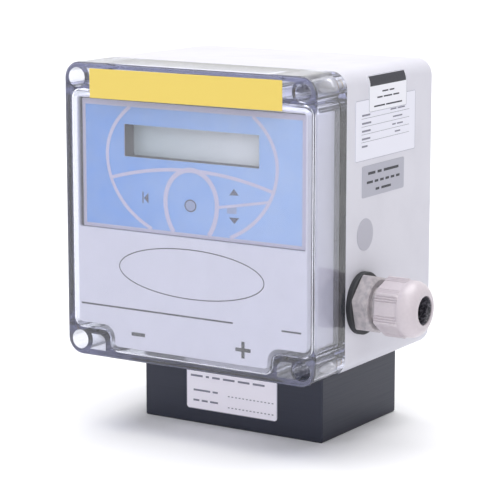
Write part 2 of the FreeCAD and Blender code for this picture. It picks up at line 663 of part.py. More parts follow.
def display_screws():
    head_y = DISPLAY_BOARD_Y + BOARD_THICKNESS
    places = board_holes(DISPLAY_BOARD_WIDTH, DISPLAY_BOARD_HEIGHT, DISPLAY_BOARD_MID_Z)
    return Part.makeCompound([pan_screw(x, z, head_y, SMALL_SCREW_LENGTH, -1) for x, z in places])


def frame_slab(inset, y0, y1):
    half_x = FRAME_WIDTH / 2 - inset
    half_z = FRAME_HEIGHT / 2 - inset
    return rounded_slab(
        GRAPHIC_X - half_x, GRAPHIC_X + half_x, DISPLAY_MID_Z - half_z, DISPLAY_MID_Z + half_z,
        y0, y1, FRAME_SHEET,
    )


def display_frame():
    front_y = GLASS_Y - FRAME_SHEET
    frame = frame_slab(0.0, front_y, DISPLAY_BOARD_Y)
    frame = frame.cut(frame_slab(FRAME_SHEET, GLASS_Y, DISPLAY_BOARD_Y))
    collar_y = POCKET_FLOOR_Y + COLLAR_GAP
    collar = display_window(COLLAR_WALL + COLLAR_GAP, collar_y, front_y)
    return frame.fuse(collar).cut(display_window(COLLAR_GAP, collar_y, GLASS_Y)).removeSplitter()


def display_glass():
    return frame_slab(FRAME_SHEET, GLASS_Y, GLASS_Y + GLASS_THICKNESS)


def key_switches():
    bodies = []
    half = SWITCH_SIZE / 2
    for x, z in key_places().values():
        front_y = DISPLAY_BOARD_Y - SWITCH_HEIGHT
        body = box(x - half, x + half, front_y, DISPLAY_BOARD_Y, z - half, z + half)
        body = body.makeChamfer(
            SWITCH_SIZE / 12, [e for e in body.Edges if e.BoundBox.YLength > SWITCH_HEIGHT / 2]
        )
        wall = SWITCH_HEIGHT / 6
        well_end = DISPLAY_BOARD_Y - wall
        well = cylinder_y(front_y + wall, well_end, x, z, PLUNGER_FLANGE + PLUNGER_GAP)
        body = body.cut(well)
        body = body.cut(cylinder_y(front_y, front_y + wall, x, z, PLUNGER_RADIUS + PLUNGER_GAP / 2))
        bodies.append(body)
    return Part.makeCompound(bodies)


def key_plunger(name):
    x, z = key_places()[name]
    wall = SWITCH_HEIGHT / 6
    flange_start = DISPLAY_BOARD_Y - SWITCH_HEIGHT + wall + SEAT_GAP
    flange_end = DISPLAY_BOARD_Y - wall - KEY_TRAVEL - PLUNGER_GAP
    stem = cylinder_y(POCKET_FLOOR_Y + PLUNGER_GAP, flange_end, x, z, PLUNGER_RADIUS)
    tip = [edge for edge in stem.Edges if edge.Closed and edge.BoundBox.YMax < flange_start]
    stem = stem.makeChamfer(PLUNGER_GAP, tip)
    return stem.fuse(cylinder_y(flange_start, flange_end, x, z, PLUNGER_FLANGE)).removeSplitter()


# ------------------------------------------------------------------ main board
def main_board():
    half_x = MAIN_BOARD_WIDTH / 2
    half_z = MAIN_BOARD_HEIGHT / 2
    board = rounded_slab(
        -half_x, half_x, MAIN_BOARD_MID_Z - half_z, MAIN_BOARD_MID_Z + half_z,
        MAIN_BOARD_FRONT_Y, MAIN_BOARD_BACK_Y, BOARD_THICKNESS,
    )
    for x, z in board_holes(MAIN_BOARD_WIDTH, MAIN_BOARD_HEIGHT, MAIN_BOARD_MID_Z):
        radius = SMALL_SCREW_RADIUS + HOLE_CLEARANCE
        board = board.cut(cylinder_y(MAIN_BOARD_FRONT_Y, MAIN_BOARD_BACK_Y, x, z, radius))
    return board


def main_board_screws():
    places = board_holes(MAIN_BOARD_WIDTH, MAIN_BOARD_HEIGHT, MAIN_BOARD_MID_Z)
    return Part.makeCompound(
        [pan_screw(x, z, MAIN_BOARD_FRONT_Y, SMALL_SCREW_LENGTH, 1) for x, z in places]
    )


def terminal_ways():
    first = TERMINAL_X - TERMINAL_PITCH * (TERMINAL_WAYS - 1) / 2
    return [first + TERMINAL_PITCH * way for way in range(TERMINAL_WAYS)]


def terminal_span():
    bottom = MAIN_BOARD_MID_Z - MAIN_BOARD_HEIGHT / 2 + TERMINAL_MARGIN
    return bottom, bottom + TERMINAL_HEIGHT


def terminal_block():
    half = TERMINAL_PITCH * TERMINAL_WAYS / 2
    bottom, top = terminal_span()
    front_y = MAIN_BOARD_FRONT_Y - TERMINAL_DEPTH
    lip = TERMINAL_DEPTH / 4
    outline = [
        Vec(TERMINAL_X - half, MAIN_BOARD_FRONT_Y, bottom),
        Vec(TERMINAL_X - half, front_y + lip, bottom),
        Vec(TERMINAL_X - half, front_y, bottom + lip),
        Vec(TERMINAL_X - half, front_y, top - lip),
        Vec(TERMINAL_X - half, front_y + lip, top),
        Vec(TERMINAL_X - half, MAIN_BOARD_FRONT_Y, top),
    ]
    body = Part.Face(Part.makePolygon(outline + outline[:1])).extrude(Vec(2 * half, 0, 0))
    for x in terminal_ways():
        radius = TERMINAL_SCREW_RADIUS + THREAD_CLEARANCE
        well = cylinder_y(front_y, front_y + TERMINAL_DEPTH / 2, x, (bottom + top) / 2, radius)
        entry = box(
            x - TERMINAL_PITCH / 3, x + TERMINAL_PITCH / 3, MAIN_BOARD_FRONT_Y - TERMINAL_DEPTH / 2,
            MAIN_BOARD_FRONT_Y - TERMINAL_DEPTH / 6, bottom, bottom + TERMINAL_HEIGHT / 2,
        )
        body = body.cut(well).cut(entry)
    return body


def terminal_screws():
    bottom, top = terminal_span()
    screws = []
    for x in terminal_ways():
        start = MAIN_BOARD_FRONT_Y - TERMINAL_DEPTH * 3 / 4
        end = MAIN_BOARD_FRONT_Y - TERMINAL_DEPTH / 2
        mid_z = (bottom + top) / 2
        screw = cylinder_y(start, end, x, mid_z, TERMINAL_SCREW_RADIUS)
        slot = TERMINAL_SCREW_RADIUS / 4
        cut = box(
            x - TERMINAL_SCREW_RADIUS, x + TERMINAL_SCREW_RADIUS, start, start + 2 * slot,
            mid_z - slot, mid_z + slot,
        )
        screws.append(screw.cut(cut))
    return Part.makeCompound(screws)


def on_main_board(x, z, width, height, depth):
    return box(
        x - width / 2, x + width / 2, MAIN_BOARD_FRONT_Y - depth, MAIN_BOARD_FRONT_Y,
        z - height / 2, z + height / 2,
    )


def processor():
    chip = on_main_board(0.0, MAIN_BOARD_MID_Z + CHIP_SIZE / 4, CHIP_SIZE, CHIP_SIZE, CHIP_HEIGHT)
    front = [e for e in chip.Edges if e.BoundBox.YMax < MAIN_BOARD_FRONT_Y - CHIP_HEIGHT / 2]
    return chip.makeChamfer(CHIP_HEIGHT / 6, front)


def power_module():
    z = MAIN_BOARD_MID_Z + MAIN_BOARD_HEIGHT / 2 - BOSS_INSET - POWER_HEIGHT / 2
    module = on_main_board(TERMINAL_X, z, POWER_WIDTH, POWER_HEIGHT, POWER_DEPTH)
    upright = [e for e in module.Edges if e.BoundBox.YLength > POWER_DEPTH / 2]
    return module.makeFillet(POWER_ROUND, upright)


def capacitors():
    cans = []
    bottom = MAIN_BOARD_MID_Z - MAIN_BOARD_HEIGHT / 2 + BOSS_INSET + CAPACITOR_RADIUS
    front_y = MAIN_BOARD_FRONT_Y - CAPACITOR_LENGTH
    for x in (-CAPACITOR_RADIUS, CAPACITOR_PITCH - CAPACITOR_RADIUS):
        can = cylinder_y(front_y, MAIN_BOARD_FRONT_Y, x, bottom, CAPACITOR_RADIUS)
        front = [e for e in can.Edges if e.Closed and e.BoundBox.YMax < front_y + CAPACITOR_RADIUS]
        cans.append(can.makeFillet(CAPACITOR_RADIUS / 6, front))
    return Part.makeCompound(cans)


def header_x():
    return HEADER_INSET - DISPLAY_BOARD_WIDTH / 2


def header(y_board, direction):
    """A header on a board's face with its plug on it. It points along direction."""
    ys = sorted((y_board, y_board + direction * HEADER_DEPTH))
    half_x = HEADER_LENGTH / 2
    half_z = HEADER_HEIGHT / 2
    return box(
        header_x() - half_x, header_x() + half_x, ys[0], ys[1],
        MAIN_BOARD_MID_Z - half_z, MAIN_BOARD_MID_Z + half_z,
    )


def quarter(y, z, radius, start_deg):
    """A quarter circle about y, z in the plane across X, from start_deg on."""
    points = []
    for step in (0, 45, 90):
        angle = math.radians(start_deg + step)
        points.append(Vec(0, y + radius * math.cos(angle), z + radius * math.sin(angle)))
    return Part.Arc(*points).toShape()


def ribbon_cable():
    """A flat cable that rises from one header, folds over and drops into the other."""
    start = DISPLAY_BOARD_Y + BOARD_THICKNESS + HEADER_DEPTH
    end = MAIN_BOARD_FRONT_Y - HEADER_DEPTH
    low = MAIN_BOARD_MID_Z - HEADER_HEIGHT / 2
    high = MAIN_BOARD_MID_Z + HEADER_HEIGHT / 2 + RIBBON_BEND
    outer = RIBBON_BEND + RIBBON_THICKNESS
    front_mid = start + outer
    back_mid = end - outer
    rise = RIBBON_THICKNESS
    edges = [
        Part.makeLine(Vec(0, start, low), Vec(0, start, high)),
        quarter(front_mid, high, outer, 90),
        Part.makeLine(Vec(0, front_mid, high + outer), Vec(0, back_mid, high + outer)),
        quarter(back_mid, high, outer, 0),
        Part.makeLine(Vec(0, end, high), Vec(0, end, low)),
        Part.makeLine(Vec(0, end, low), Vec(0, end - rise, low)),
        Part.makeLine(Vec(0, end - rise, low), Vec(0, end - rise, high)),
        quarter(back_mid, high, RIBBON_BEND, 0),
        Part.makeLine(Vec(0, back_mid, high + RIBBON_BEND), Vec(0, front_mid, high + RIBBON_BEND)),
        quarter(front_mid, high, RIBBON_BEND, 90),
        Part.makeLine(Vec(0, start + rise, high), Vec(0, start + rise, low)),
        Part.makeLine(Vec(0, start + rise, low), Vec(0, start, low)),
    ]
    outline = Part.Wire(Part.__sortEdges__(edges))
    strip = Part.Face(outline).extrude(Vec(RIBBON_WIDTH, 0, 0))
    strip.translate(Vec(header_x() - RIBBON_WIDTH / 2, 0, 0))
    return strip


# ------------------------------------------------------------------ manifold and pressure cell
def manifold_block():
    half_x = BLOCK_WIDTH / 2
    half_y = BLOCK_DEPTH / 2
    block = box(-half_x, half_x, -half_y, half_y, 0.0, BLOCK_HEIGHT)
    block = block.makeChamfer(BLOCK_CHAMFER, block.Edges)
    for side in (-1, 1):
        x = side * PORT_SPACING / 2
        block = block.cut(cylinder_z(0.0, PORT_LENGTH, x, 0.0, PORT_RADIUS))
        block = block.cut(cylinder_z(0.0, PORT_FACE_DEPTH, x, 0.0, PORT_FACE_RADIUS))
        block = block.cut(cylinder_z(0.0, BLOCK_HEIGHT, x, 0.0, PASSAGE_RADIUS))
        groove = cylinder_z(
            BLOCK_HEIGHT - SEAL_GROOVE_DEPTH, BLOCK_HEIGHT, x, 0.0, SEAL_RADIUS + SEAL_GROOVE_HALF
        )
        core_radius = SEAL_RADIUS - SEAL_GROOVE_HALF
        core = cylinder_z(BLOCK_HEIGHT - SEAL_GROOVE_DEPTH, BLOCK_HEIGHT, x, 0.0, core_radius)
        block = block.cut(groove.cut(core))
        for y in (-BLOCK_SCREW_Y, BLOCK_SCREW_Y):
            radius = BLOCK_SCREW_RADIUS + THREAD_CLEARANCE
            bottom = BLOCK_HEIGHT - BLOCK_SCREW_DEPTH - 2 * HOLE_CLEARANCE
            block = block.cut(cylinder_z(bottom, BLOCK_HEIGHT, side * BLOCK_SCREW_X, y, radius))
    return block


def port_seals():
    rings = []
    for side in (-1, 1):
        centre = Vec(side * PORT_SPACING / 2, 0.0, BLOCK_HEIGHT - SEAL_SECTION)
        rings.append(Part.makeTorus(SEAL_RADIUS, SEAL_SECTION, centre, Vec(0, 0, 1)))
    return Part.makeCompound(rings)


def cell_half(side):
    """One half of the cell: a turned disc on a milled foot, with its pressure passage."""
    inner = DIAPHRAGM_THICKNESS / 2
    xs = sorted((side * inner, side * (inner + CELL_THICKNESS)))
    disc = cylinder_x(xs[0], xs[1], 0.0, CELL_Z, CELL_RADIUS)
    outer_face = side * (inner + CELL_THICKNESS)
    rim = [e for e in disc.Edges if e.Closed and abs(e.CenterOfMass.x - outer_face) < 1e-6]
    disc = disc.makeChamfer(CELL_CHAMFER, rim)
    fx = sorted((side * FOOT_INNER, side * FOOT_OUTER))
    foot = box(fx[0], fx[1], -FOOT_HALF_DEPTH, FOOT_HALF_DEPTH, FLOOR_Z, FLOOR_Z + FOOT_HEIGHT)
    end_x = side * FOOT_OUTER
    upright = [e for e in foot.Edges if e.BoundBox.ZLength > FOOT_HEIGHT / 2]
    ends = [e for e in upright if abs(e.CenterOfMass.x - end_x) < 1e-6]
    foot = foot.makeFillet(CORNER_RADIUS / 2, ends)
    port_x = side * PORT_SPACING / 2
    half = disc.fuse(foot).fuse(cylinder_z(BLOCK_HEIGHT, FLOOR_Z, port_x, 0.0, SPIGOT_RADIUS))
    bore_z = FLOOR_Z + CROSS_BORE_Z
    px = sorted((side * inner, port_x))
    half = half.cut(cylinder_x(px[0], px[1], 0.0, bore_z, PASSAGE_RADIUS))
    half = half.cut(cylinder_z(BLOCK_HEIGHT, bore_z, port_x, 0.0, PASSAGE_RADIUS))
    cone = Part.makeCone(
        CELL_RECESS_RADIUS, CELL_RECESS_RADIUS / 2, CELL_RECESS_DEPTH,
        Vec(side * inner, 0, CELL_Z), Vec(side, 0, 0),
    )
    half = half.cut(cone)
    for y in (-BLOCK_SCREW_Y, BLOCK_SCREW_Y):
        hole = cylinder_z(
            FLOOR_Z, FLOOR_Z + FOOT_HEIGHT, side * BLOCK_SCREW_X, y, BLOCK_SCREW_RADIUS + HOLE_CLEARANCE
        )
        half = half.cut(hole)
    for y, z in clamp_places():
        radius = CLAMP_SCREW_RADIUS + (HOLE_CLEARANCE if side > 0 else THREAD_CLEARANCE)
        half = half.cut(cylinder_x(xs[0], xs[1], y, z, radius))
    return half.removeSplitter()


def clamp_places():
    places = []
    for degrees in CLAMP_ANGLES:
        angle = math.radians(degrees)
        places.append((CLAMP_CIRCLE * math.cos(angle), CELL_Z + CLAMP_CIRCLE * math.sin(angle)))
    return places


def sensing_diaphragm():
    half = DIAPHRAGM_THICKNESS / 2
    disc = cylinder_x(-half, half, 0.0, CELL_Z, CELL_RADIUS)
    for side in (-1, 1):
        xs = sorted((side * half, side * half / 4))
        disc = disc.cut(cylinder_x(xs[0], xs[1], 0.0, CELL_Z, CELL_RECESS_RADIUS))
    for y, z in clamp_places():
        disc = disc.cut(cylinder_x(-half, half, y, z, CLAMP_SCREW_RADIUS + HOLE_CLEARANCE))
    return disc


def socket_head(x, y, z, direction, radius, height, shank_radius, shank_length):
    """A socket-head screw whose head's seat is at x, y, z. The shank runs along direction."""
    seat = Vec(x, y, z)
    back = direction * -1
    head = Part.makeCylinder(radius, height, seat, back)
    shank = Part.makeCylinder(shank_radius, shank_length, seat, direction)
    top = seat + back * height
    socket = Part.makeCylinder(radius * SOCKET_SHARE, height / 2, top, direction)
    return head.fuse(shank).cut(socket).removeSplitter()


def clamp_screws():
    seat_x = DIAPHRAGM_THICKNESS / 2 + CELL_THICKNESS
    length = 2 * seat_x - CLAMP_SCREW_SHORT
    screws = []
    for y, z in clamp_places():
        screws.append(
            socket_head(
                seat_x, y, z, Vec(-1, 0, 0), CLAMP_HEAD_RADIUS, CLAMP_HEAD_HEIGHT,
                CLAMP_SCREW_RADIUS, length,
            )
        )
    return Part.makeCompound(screws)


def block_screws():
    seat_z = FLOOR_Z + FOOT_HEIGHT
    length = seat_z - BLOCK_HEIGHT + BLOCK_SCREW_DEPTH
    screws = []
    for x in (-BLOCK_SCREW_X, BLOCK_SCREW_X):
        for y in (-BLOCK_SCREW_Y, BLOCK_SCREW_Y):
            screws.append(
                socket_head(
                    x, y, seat_z, Vec(0, 0, -1), BLOCK_HEAD_RADIUS, BLOCK_HEAD_HEIGHT,
                    BLOCK_SCREW_RADIUS, length,
                )
            )
    return Part.makeCompound(screws)


# ------------------------------------------------------------------ cable gland
def gland_washer():
    start = HALF_WIDTH - WASHER_THICKNESS
    ring = cylinder_x(start, HEX_X, GLAND_AXIS_Y, GLAND_AXIS_Z, WASHER_RADIUS)
    rim = [e for e in ring.Edges if e.Closed and abs(e.CenterOfMass.x - HEX_X) < 1e-6]
    ring = ring.makeFillet(WASHER_THICKNESS / 4, rim)
    radius = GLAND_THREAD_RADIUS + THREAD_CLEARANCE
    bore = cylinder_x(start, HEX_X, GLAND_AXIS_Y, GLAND_AXIS_Z, radius)
    return ring.cut(envelope(0.0)).cut(bore)


def gland_body():
    start = HALF_WIDTH - GLAND_THREAD_REACH
    claw_x = NECK_X + NECK_LENGTH
    tip_x = claw_x + CLAW_LENGTH
    hex_cap = [
        (HEX_X, 0.0), (HEX_X, HEX_CORNER_RADIUS), (NECK_X - HEX_CHAMFER, HEX_CORNER_RADIUS),
        (NECK_X, HEX_CORNER_RADIUS - HEX_CHAMFER_DROP), (NECK_X, 0.0),
    ]
    hexagon = hexagon_x(HEX_X, NECK_X, GLAND_AXIS_Y, GLAND_AXIS_Z, GLAND_FLATS, HEX_TURN_DEG)
    hexagon = hexagon.common(revolve_x(hex_cap, GLAND_AXIS_Y, GLAND_AXIS_Z))
    stem = revolve_x(
        [
            (start, 0.0), (start, GLAND_THREAD_RADIUS - GLAND_LEAD),
            (start + GLAND_LEAD, GLAND_THREAD_RADIUS), (HEX_X + GLAND_OVERLAP, GLAND_THREAD_RADIUS),
            (HEX_X + GLAND_OVERLAP, NECK_RADIUS - RELIEF_DEPTH),
            (NECK_X + RELIEF_WIDTH, NECK_RADIUS - RELIEF_DEPTH),
            (NECK_X + RELIEF_WIDTH, NECK_RADIUS), (claw_x, NECK_RADIUS), (tip_x, CLAW_TIP_RADIUS),
            (tip_x, 0.0),
        ],
        GLAND_AXIS_Y, GLAND_AXIS_Z,
    )
    body = hexagon.fuse(stem)
    body = body.cut(cylinder_x(start, tip_x, GLAND_AXIS_Y, GLAND_AXIS_Z, GLAND_BORE))
    sleeve_x = NUT_END_X - NUT_FRONT_WALL - SLEEVE_LENGTH
    seat = cylinder_x(
        sleeve_x - SLEEVE_GAP, tip_x, GLAND_AXIS_Y, GLAND_AXIS_Z, CLAW_TIP_RADIUS - CLAW_WALL
    )
    body = body.cut(seat)
    for index in range(CLAW_COUNT):
        slot = box(
            claw_x, tip_x, GLAND_AXIS_Y, GLAND_AXIS_Y + 2 * NECK_RADIUS,
            GLAND_AXIS_Z - CLAW_SLOT / 2, GLAND_AXIS_Z + CLAW_SLOT / 2,
        )
        turn = 360 / CLAW_COUNT * (index + 0.5)
        slot.rotate(Vec(0, GLAND_AXIS_Y, GLAND_AXIS_Z), Vec(1, 0, 0), turn)
        body = body.cut(slot)
    return body.removeSplitter()


def gland_sleeve():
    end = NUT_END_X - NUT_FRONT_WALL
    start = end - SLEEVE_LENGTH
    radius = CLAW_TIP_RADIUS - CLAW_WALL - SLEEVE_GAP
    snout = NUT_OPENING - SLEEVE_GAP
    snout_end = NUT_END_X - SNOUT_SHORT
    return revolve_x(
        [
            (start, SLEEVE_BORE + SLEEVE_LEAD), (start, radius), (end - SLEEVE_BEVEL, radius),
            (end - SLEEVE_GAP, snout), (snout_end, snout), (snout_end, SNOUT_MOUTH),
            (snout_end - SNOUT_MOUTH_DEPTH, SLEEVE_BORE), (start + SLEEVE_BEVEL, SLEEVE_BORE),
        ],
        GLAND_AXIS_Y, GLAND_AXIS_Z,
    )


def nut_blank():
    """The outside of the dome nut: a hexagon with trimmed corners that runs into a dome."""
    hex_end = NUT_X + NUT_HEX_LENGTH
    merge_x = hex_end + NUT_MERGE
    cap = [
        (NUT_X, 0.0), (NUT_X, NUT_CORNER_RADIUS - NUT_BREAK), (NUT_X + NUT_BREAK, NUT_CORNER_RADIUS),
        (hex_end - NUT_CHAMFER, NUT_CORNER_RADIUS), (merge_x, NUT_DOME_RADIUS - NUT_MERGE_DROP),
        (merge_x, 0.0),
    ]
    hexagon = hexagon_x(NUT_X, merge_x, GLAND_AXIS_Y, GLAND_AXIS_Z, NUT_FLATS, NUT_TURN_DEG)
    hexagon = hexagon.common(revolve_x(cap, GLAND_AXIS_Y, GLAND_AXIS_Z))
    start = Vec(hex_end, GLAND_AXIS_Y, GLAND_AXIS_Z + NUT_DOME_RADIUS)
    end = Vec(NUT_END_X, GLAND_AXIS_Y, GLAND_AXIS_Z + NUT_FACE_RADIUS)
    reach = NUT_END_X - hex_end
    drop = NUT_DOME_RADIUS - NUT_FACE_RADIUS
    along, down = NUT_DOME_BULGE
    middle = Vec(
        hex_end + reach * along, GLAND_AXIS_Y, GLAND_AXIS_Z + NUT_DOME_RADIUS - drop * down
    )
    arc = Part.Arc(start, middle, end).toShape()
    axis_end = Vec(NUT_END_X, GLAND_AXIS_Y, GLAND_AXIS_Z)
    axis_start = Vec(hex_end, GLAND_AXIS_Y, GLAND_AXIS_Z)
    closing = Part.makePolygon([end, axis_end, axis_start, start]).Edges
    outline = Part.Wire([arc] + closing)
    dome = Part.Face(outline).revolve(axis_start, Vec(1, 0, 0), 360)
    return hexagon.fuse(dome)


def gland_nut():
    nut = nut_blank()
    bore_end = NUT_X + NECK_LENGTH - NECK_GAP + NUT_MERGE
    front = NUT_END_X - NUT_FRONT_WALL
    inside = revolve_x(
        [
            (NUT_X, 0.0), (NUT_X, NECK_RADIUS + NUT_BORE_GAP), (bore_end, NECK_RADIUS + NUT_BORE_GAP),
            (front, CLAW_TIP_RADIUS - CLAW_WALL + SLEEVE_GAP), (front, NUT_OPENING),
            (NUT_END_X, NUT_OPENING), (NUT_END_X, 0.0),
        ],
        GLAND_AXIS_Y, GLAND_AXIS_Z,
    )
    nut = nut.cut(inside)
    side = RIB_DEPTH * math.sqrt(2)
    for face in range(6):
        turn = NUT_TURN_DEG + 30 + 60 * face
        for offset in RIB_OFFSETS:
            for hand in (-1, 1):
                groove = box(
                    NUT_X, NUT_X + NUT_HEX_LENGTH, -side / 2, side / 2, -side / 2, side / 2
                )
                groove.rotate(Vec(0, 0, 0), Vec(1, 0, 0), 45)
                groove.translate(Vec(0, NUT_FLATS / 2, hand * offset))
                groove.rotate(Vec(0, 0, 0), Vec(1, 0, 0), turn)
                groove.translate(Vec(0, GLAND_AXIS_Y, GLAND_AXIS_Z))
                nut = nut.cut(groove)
    return nut.removeSplitter()


def gland_locknut():
    end = HALF_WIDTH - HOUSING_WALL
    start = end - LOCKNUT_LENGTH
    nut = hexagon_x(start, end, GLAND_AXIS_Y, GLAND_AXIS_Z, LOCKNUT_FLATS, HEX_TURN_DEG)
    bore = cylinder_x(start, end, GLAND_AXIS_Y, GLAND_AXIS_Z, GLAND_THREAD_RADIUS + THREAD_CLEARANCE)
    return nut.cut(bore)


# ------------------------------------------------------------------ labels
def side_skin(thickness):
    return envelope(thickness).cut(envelope(0.0))


def side_patch(name):
    start, end, low, high = SIDE_LABELS[name]
    outline = rounded_slab(
        RIM_Y + start, RIM_Y + end, BOTTOM_Z + low, BOTTOM_Z + high, -ENCLOSURE_WIDTH, 0.0,
        LABEL_ROUND,
    )
    outline.rotate(Vec(0, 0, 0), Vec(0, 0, 1), 90)
    return outline


def side_label(name):
    return side_skin(LABEL_THICKNESS).common(side_patch(name))


def supplier_label():
    """The upper side label is thicker, and it is stuck over the edge of the one below it."""
    label = side_skin(2 * LABEL_THICKNESS).common(side_patch("supplier_label"))
    return label.cut(side_label("rating_label"))


def inspection_label():
    disc = cylinder_x(
        0.0, ENCLOSURE_WIDTH, RIM_Y + ROUND_LABEL_Y, BOTTOM_Z + ROUND_LABEL_Z, ROUND_LABEL_RADIUS
    )
    return side_skin(LABEL_THICKNESS).common(disc)


def calibration_label():
    return rounded_slab(
        -CALIBRATION_HALF, CALIBRATION_HALF, CALIBRATION_BOTTOM, CALIBRATION_TOP,
        -BLOCK_DEPTH / 2 - LABEL_THICKNESS, -BLOCK_DEPTH / 2, CALIBRATION_ROUND,
    )


def name_tape():
    half = TAPE_WIDTH / 2
    mid_z = BOTTOM_Z + TAPE_Z
    tape = rounded_slab(
        TAPE_X - half, TAPE_X + half, mid_z - TAPE_HEIGHT / 2, mid_z + TAPE_HEIGHT / 2,
        FRONT_Y - LABEL_THICKNESS, FRONT_Y, LABEL_ROUND / 2,
    )
    tape.rotate(Vec(TAPE_X, FRONT_Y, mid_z), Vec(0, 1, 0), TAPE_TILT_DEG)
    return tape


# ------------------------------------------------------------------ export
def all_pieces():
    pieces = {
        "rear_housing": rear_housing(),
        "clear_lid": clear_lid(),
        "lid_seal": lid_seal(),
        "lid_screws": lid_screws(),
        "thread_inserts": thread_inserts(),
        "inner_cover": inner_cover(),
        "keypad_overlay": keypad_overlay(),
        "display_board": display_board(),
        "display_screws": display_screws(),
        "display_frame": display_frame(),
        "display_glass": display_glass(),
        "key_switches": key_switches(),
        "main_board": main_board(),
        "main_board_screws": main_board_screws(),
        "terminal_block": terminal_block(),
        "terminal_screws": terminal_screws(),
        "processor": processor(),
        "power_module": power_module(),
        "capacitors": capacitors(),
        "main_header": header(MAIN_BOARD_FRONT_Y, -1),
        "display_header": header(DISPLAY_BOARD_Y + BOARD_THICKNESS, 1),
        "ribbon_cable": ribbon_cable(),
        "manifold_block": manifold_block(),
        "port_seals": port_seals(),
        "cell_half_low": cell_half(-1),
        "cell_half_high": cell_half(1),
        "sensing_diaphragm": sensing_diaphragm(),
        "clamp_screws": clamp_screws(),
        "block_screws": block_screws(),
        "gland_washer": gland_washer(),
        "gland_body": gland_body(),
        "gland_sleeve": gland_sleeve(),
        "gland_nut": gland_nut(),
        "gland_locknut": gland_locknut(),
        "name_tape": name_tape(),
        "supplier_label": supplier_label(),
        "rating_label": side_label("rating_label"),
        "service_label": side_label("service_label"),
        "inspection_label": inspection_label(),
        "calibration_label": calibration_label(),
    }
    for name in KEYS:
        pieces["key_plunger_" + name] = key_plunger(name)
    return pieces


os.makedirs("parts", exist_ok=True)
for piece_name, shape in all_pieces().items():
    shape.exportStep("parts/" + piece_name + ".step")
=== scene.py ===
import math

import bpy
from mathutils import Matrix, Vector
from mathutils.bvhtree import BVHTree


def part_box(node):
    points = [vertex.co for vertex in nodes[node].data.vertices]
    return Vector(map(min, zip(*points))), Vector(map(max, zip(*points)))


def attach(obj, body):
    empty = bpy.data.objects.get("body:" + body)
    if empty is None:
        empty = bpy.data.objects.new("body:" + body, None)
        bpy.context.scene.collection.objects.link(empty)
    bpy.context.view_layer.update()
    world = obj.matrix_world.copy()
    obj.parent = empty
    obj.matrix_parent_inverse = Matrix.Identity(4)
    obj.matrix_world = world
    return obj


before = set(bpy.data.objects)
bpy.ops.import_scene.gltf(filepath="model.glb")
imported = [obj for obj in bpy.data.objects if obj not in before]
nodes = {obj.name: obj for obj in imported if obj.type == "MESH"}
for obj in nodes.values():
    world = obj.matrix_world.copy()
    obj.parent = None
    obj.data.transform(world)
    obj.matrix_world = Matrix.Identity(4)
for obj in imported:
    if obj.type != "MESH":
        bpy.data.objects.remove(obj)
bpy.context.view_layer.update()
scene = bpy.context.scene
scene.view_settings.view_transform = "Standard"
MM = 0.001

# ------------------------------------------------------------------ studio
# A long lens looks down on the transmitter's right front corner. The floor is a wide sheet of
# white paper, and the room is white too, so clear plastic and metal have it to show.
CAMERA_AT = (0.4829, -0.77445, 0.2429)
CAMERA_LOOKS = (-0.52814, 0.82880, -0.18483)
CAMERA_LENS = 157.3
SENSOR = 36.0
PAPER_WHITE = "#F8F8FA"
PAPER_HALF = 9.0
ROOM_WHITE = "#FFFFFF"
ROOM_LIGHT = 0.2           # what matt surfaces get from the room
SOFTBOXES = (              # strength, width as seen from the object in degrees, way it shines
    ("sky", 3.1, 60.0, (0.0, -0.1, -1.0)),          # overhead
    ("key", 0.8, 50.0, (-0.52, 0.68, -0.5)),        # over the viewer's right shoulder
    ("fill", 0.95, 60.0, (0.75, 0.6, -0.3)),        # far to the left
)


def linear(code):
    """An sRGB hex colour as linear red, green, blue and alpha."""
    channels = [int(code[i:i + 2], 16) / 255 for i in (1, 3, 5)]
    return [c / 12.92 if c <= 0.04045 else ((c + 0.055) / 1.055) ** 2.4 for c in channels] + [1.0]


def add(tree, kind, inputs=None, **settings):
    """Adds a node. Inputs are values or the sockets to link, by name or number."""
    node = tree.nodes.new("ShaderNode" + kind)
    for name, value in settings.items():
        setattr(node, name, value)
    for name, value in (inputs or {}).items():
        if isinstance(value, bpy.types.NodeSocket):
            tree.links.new(value, node.inputs[name])
        else:
            node.inputs[name].default_value = value
    return node


def finish(name):
    """A new material with nothing in it yet."""
    material = bpy.data.materials.new(name)
    material.use_nodes = True
    material.node_tree.nodes.clear()
    return material, material.node_tree


camera_data = bpy.data.cameras.new("camera")
camera_data.lens = CAMERA_LENS
camera_data.sensor_width = SENSOR
camera = bpy.data.objects.new("camera", camera_data)
camera.location = CAMERA_AT
camera.rotation_euler = Vector(CAMERA_LOOKS).to_track_quat("-Z", "Y").to_euler()
scene.collection.objects.link(camera)
scene.camera = camera

# The room is plain white to the lens and in every gloss, and dimmer to matt surfaces.
world = bpy.data.worlds.new("white room")
scene.world = world
world.use_nodes = True
room = world.node_tree
room.nodes.clear()
rays = add(room, "LightPath")
seen_plainly = add(room, "Math", {0: rays.outputs["Diffuse Depth"], 1: 0.5}, operation="LESS_THAN")
level = add(
    room, "Mix", {"Factor": seen_plainly.outputs[0], 2: ROOM_LIGHT, 3: 1.0}, data_type="FLOAT"
)
walls = add(room, "Background", {"Color": linear(ROOM_WHITE), "Strength": level.outputs[0]})
add(room, "OutputWorld", {"Surface": walls.outputs[0]})

for lamp_name, strength, width, towards in SOFTBOXES:
    lamp = bpy.data.lights.new(lamp_name, "SUN")
    lamp.energy = strength
    lamp.angle = math.radians(width)
    softbox = bpy.data.objects.new(lamp_name, lamp)
    softbox.rotation_euler = Vector(towards).to_track_quat("-Z", "Y").to_euler()
    scene.collection.objects.link(softbox)

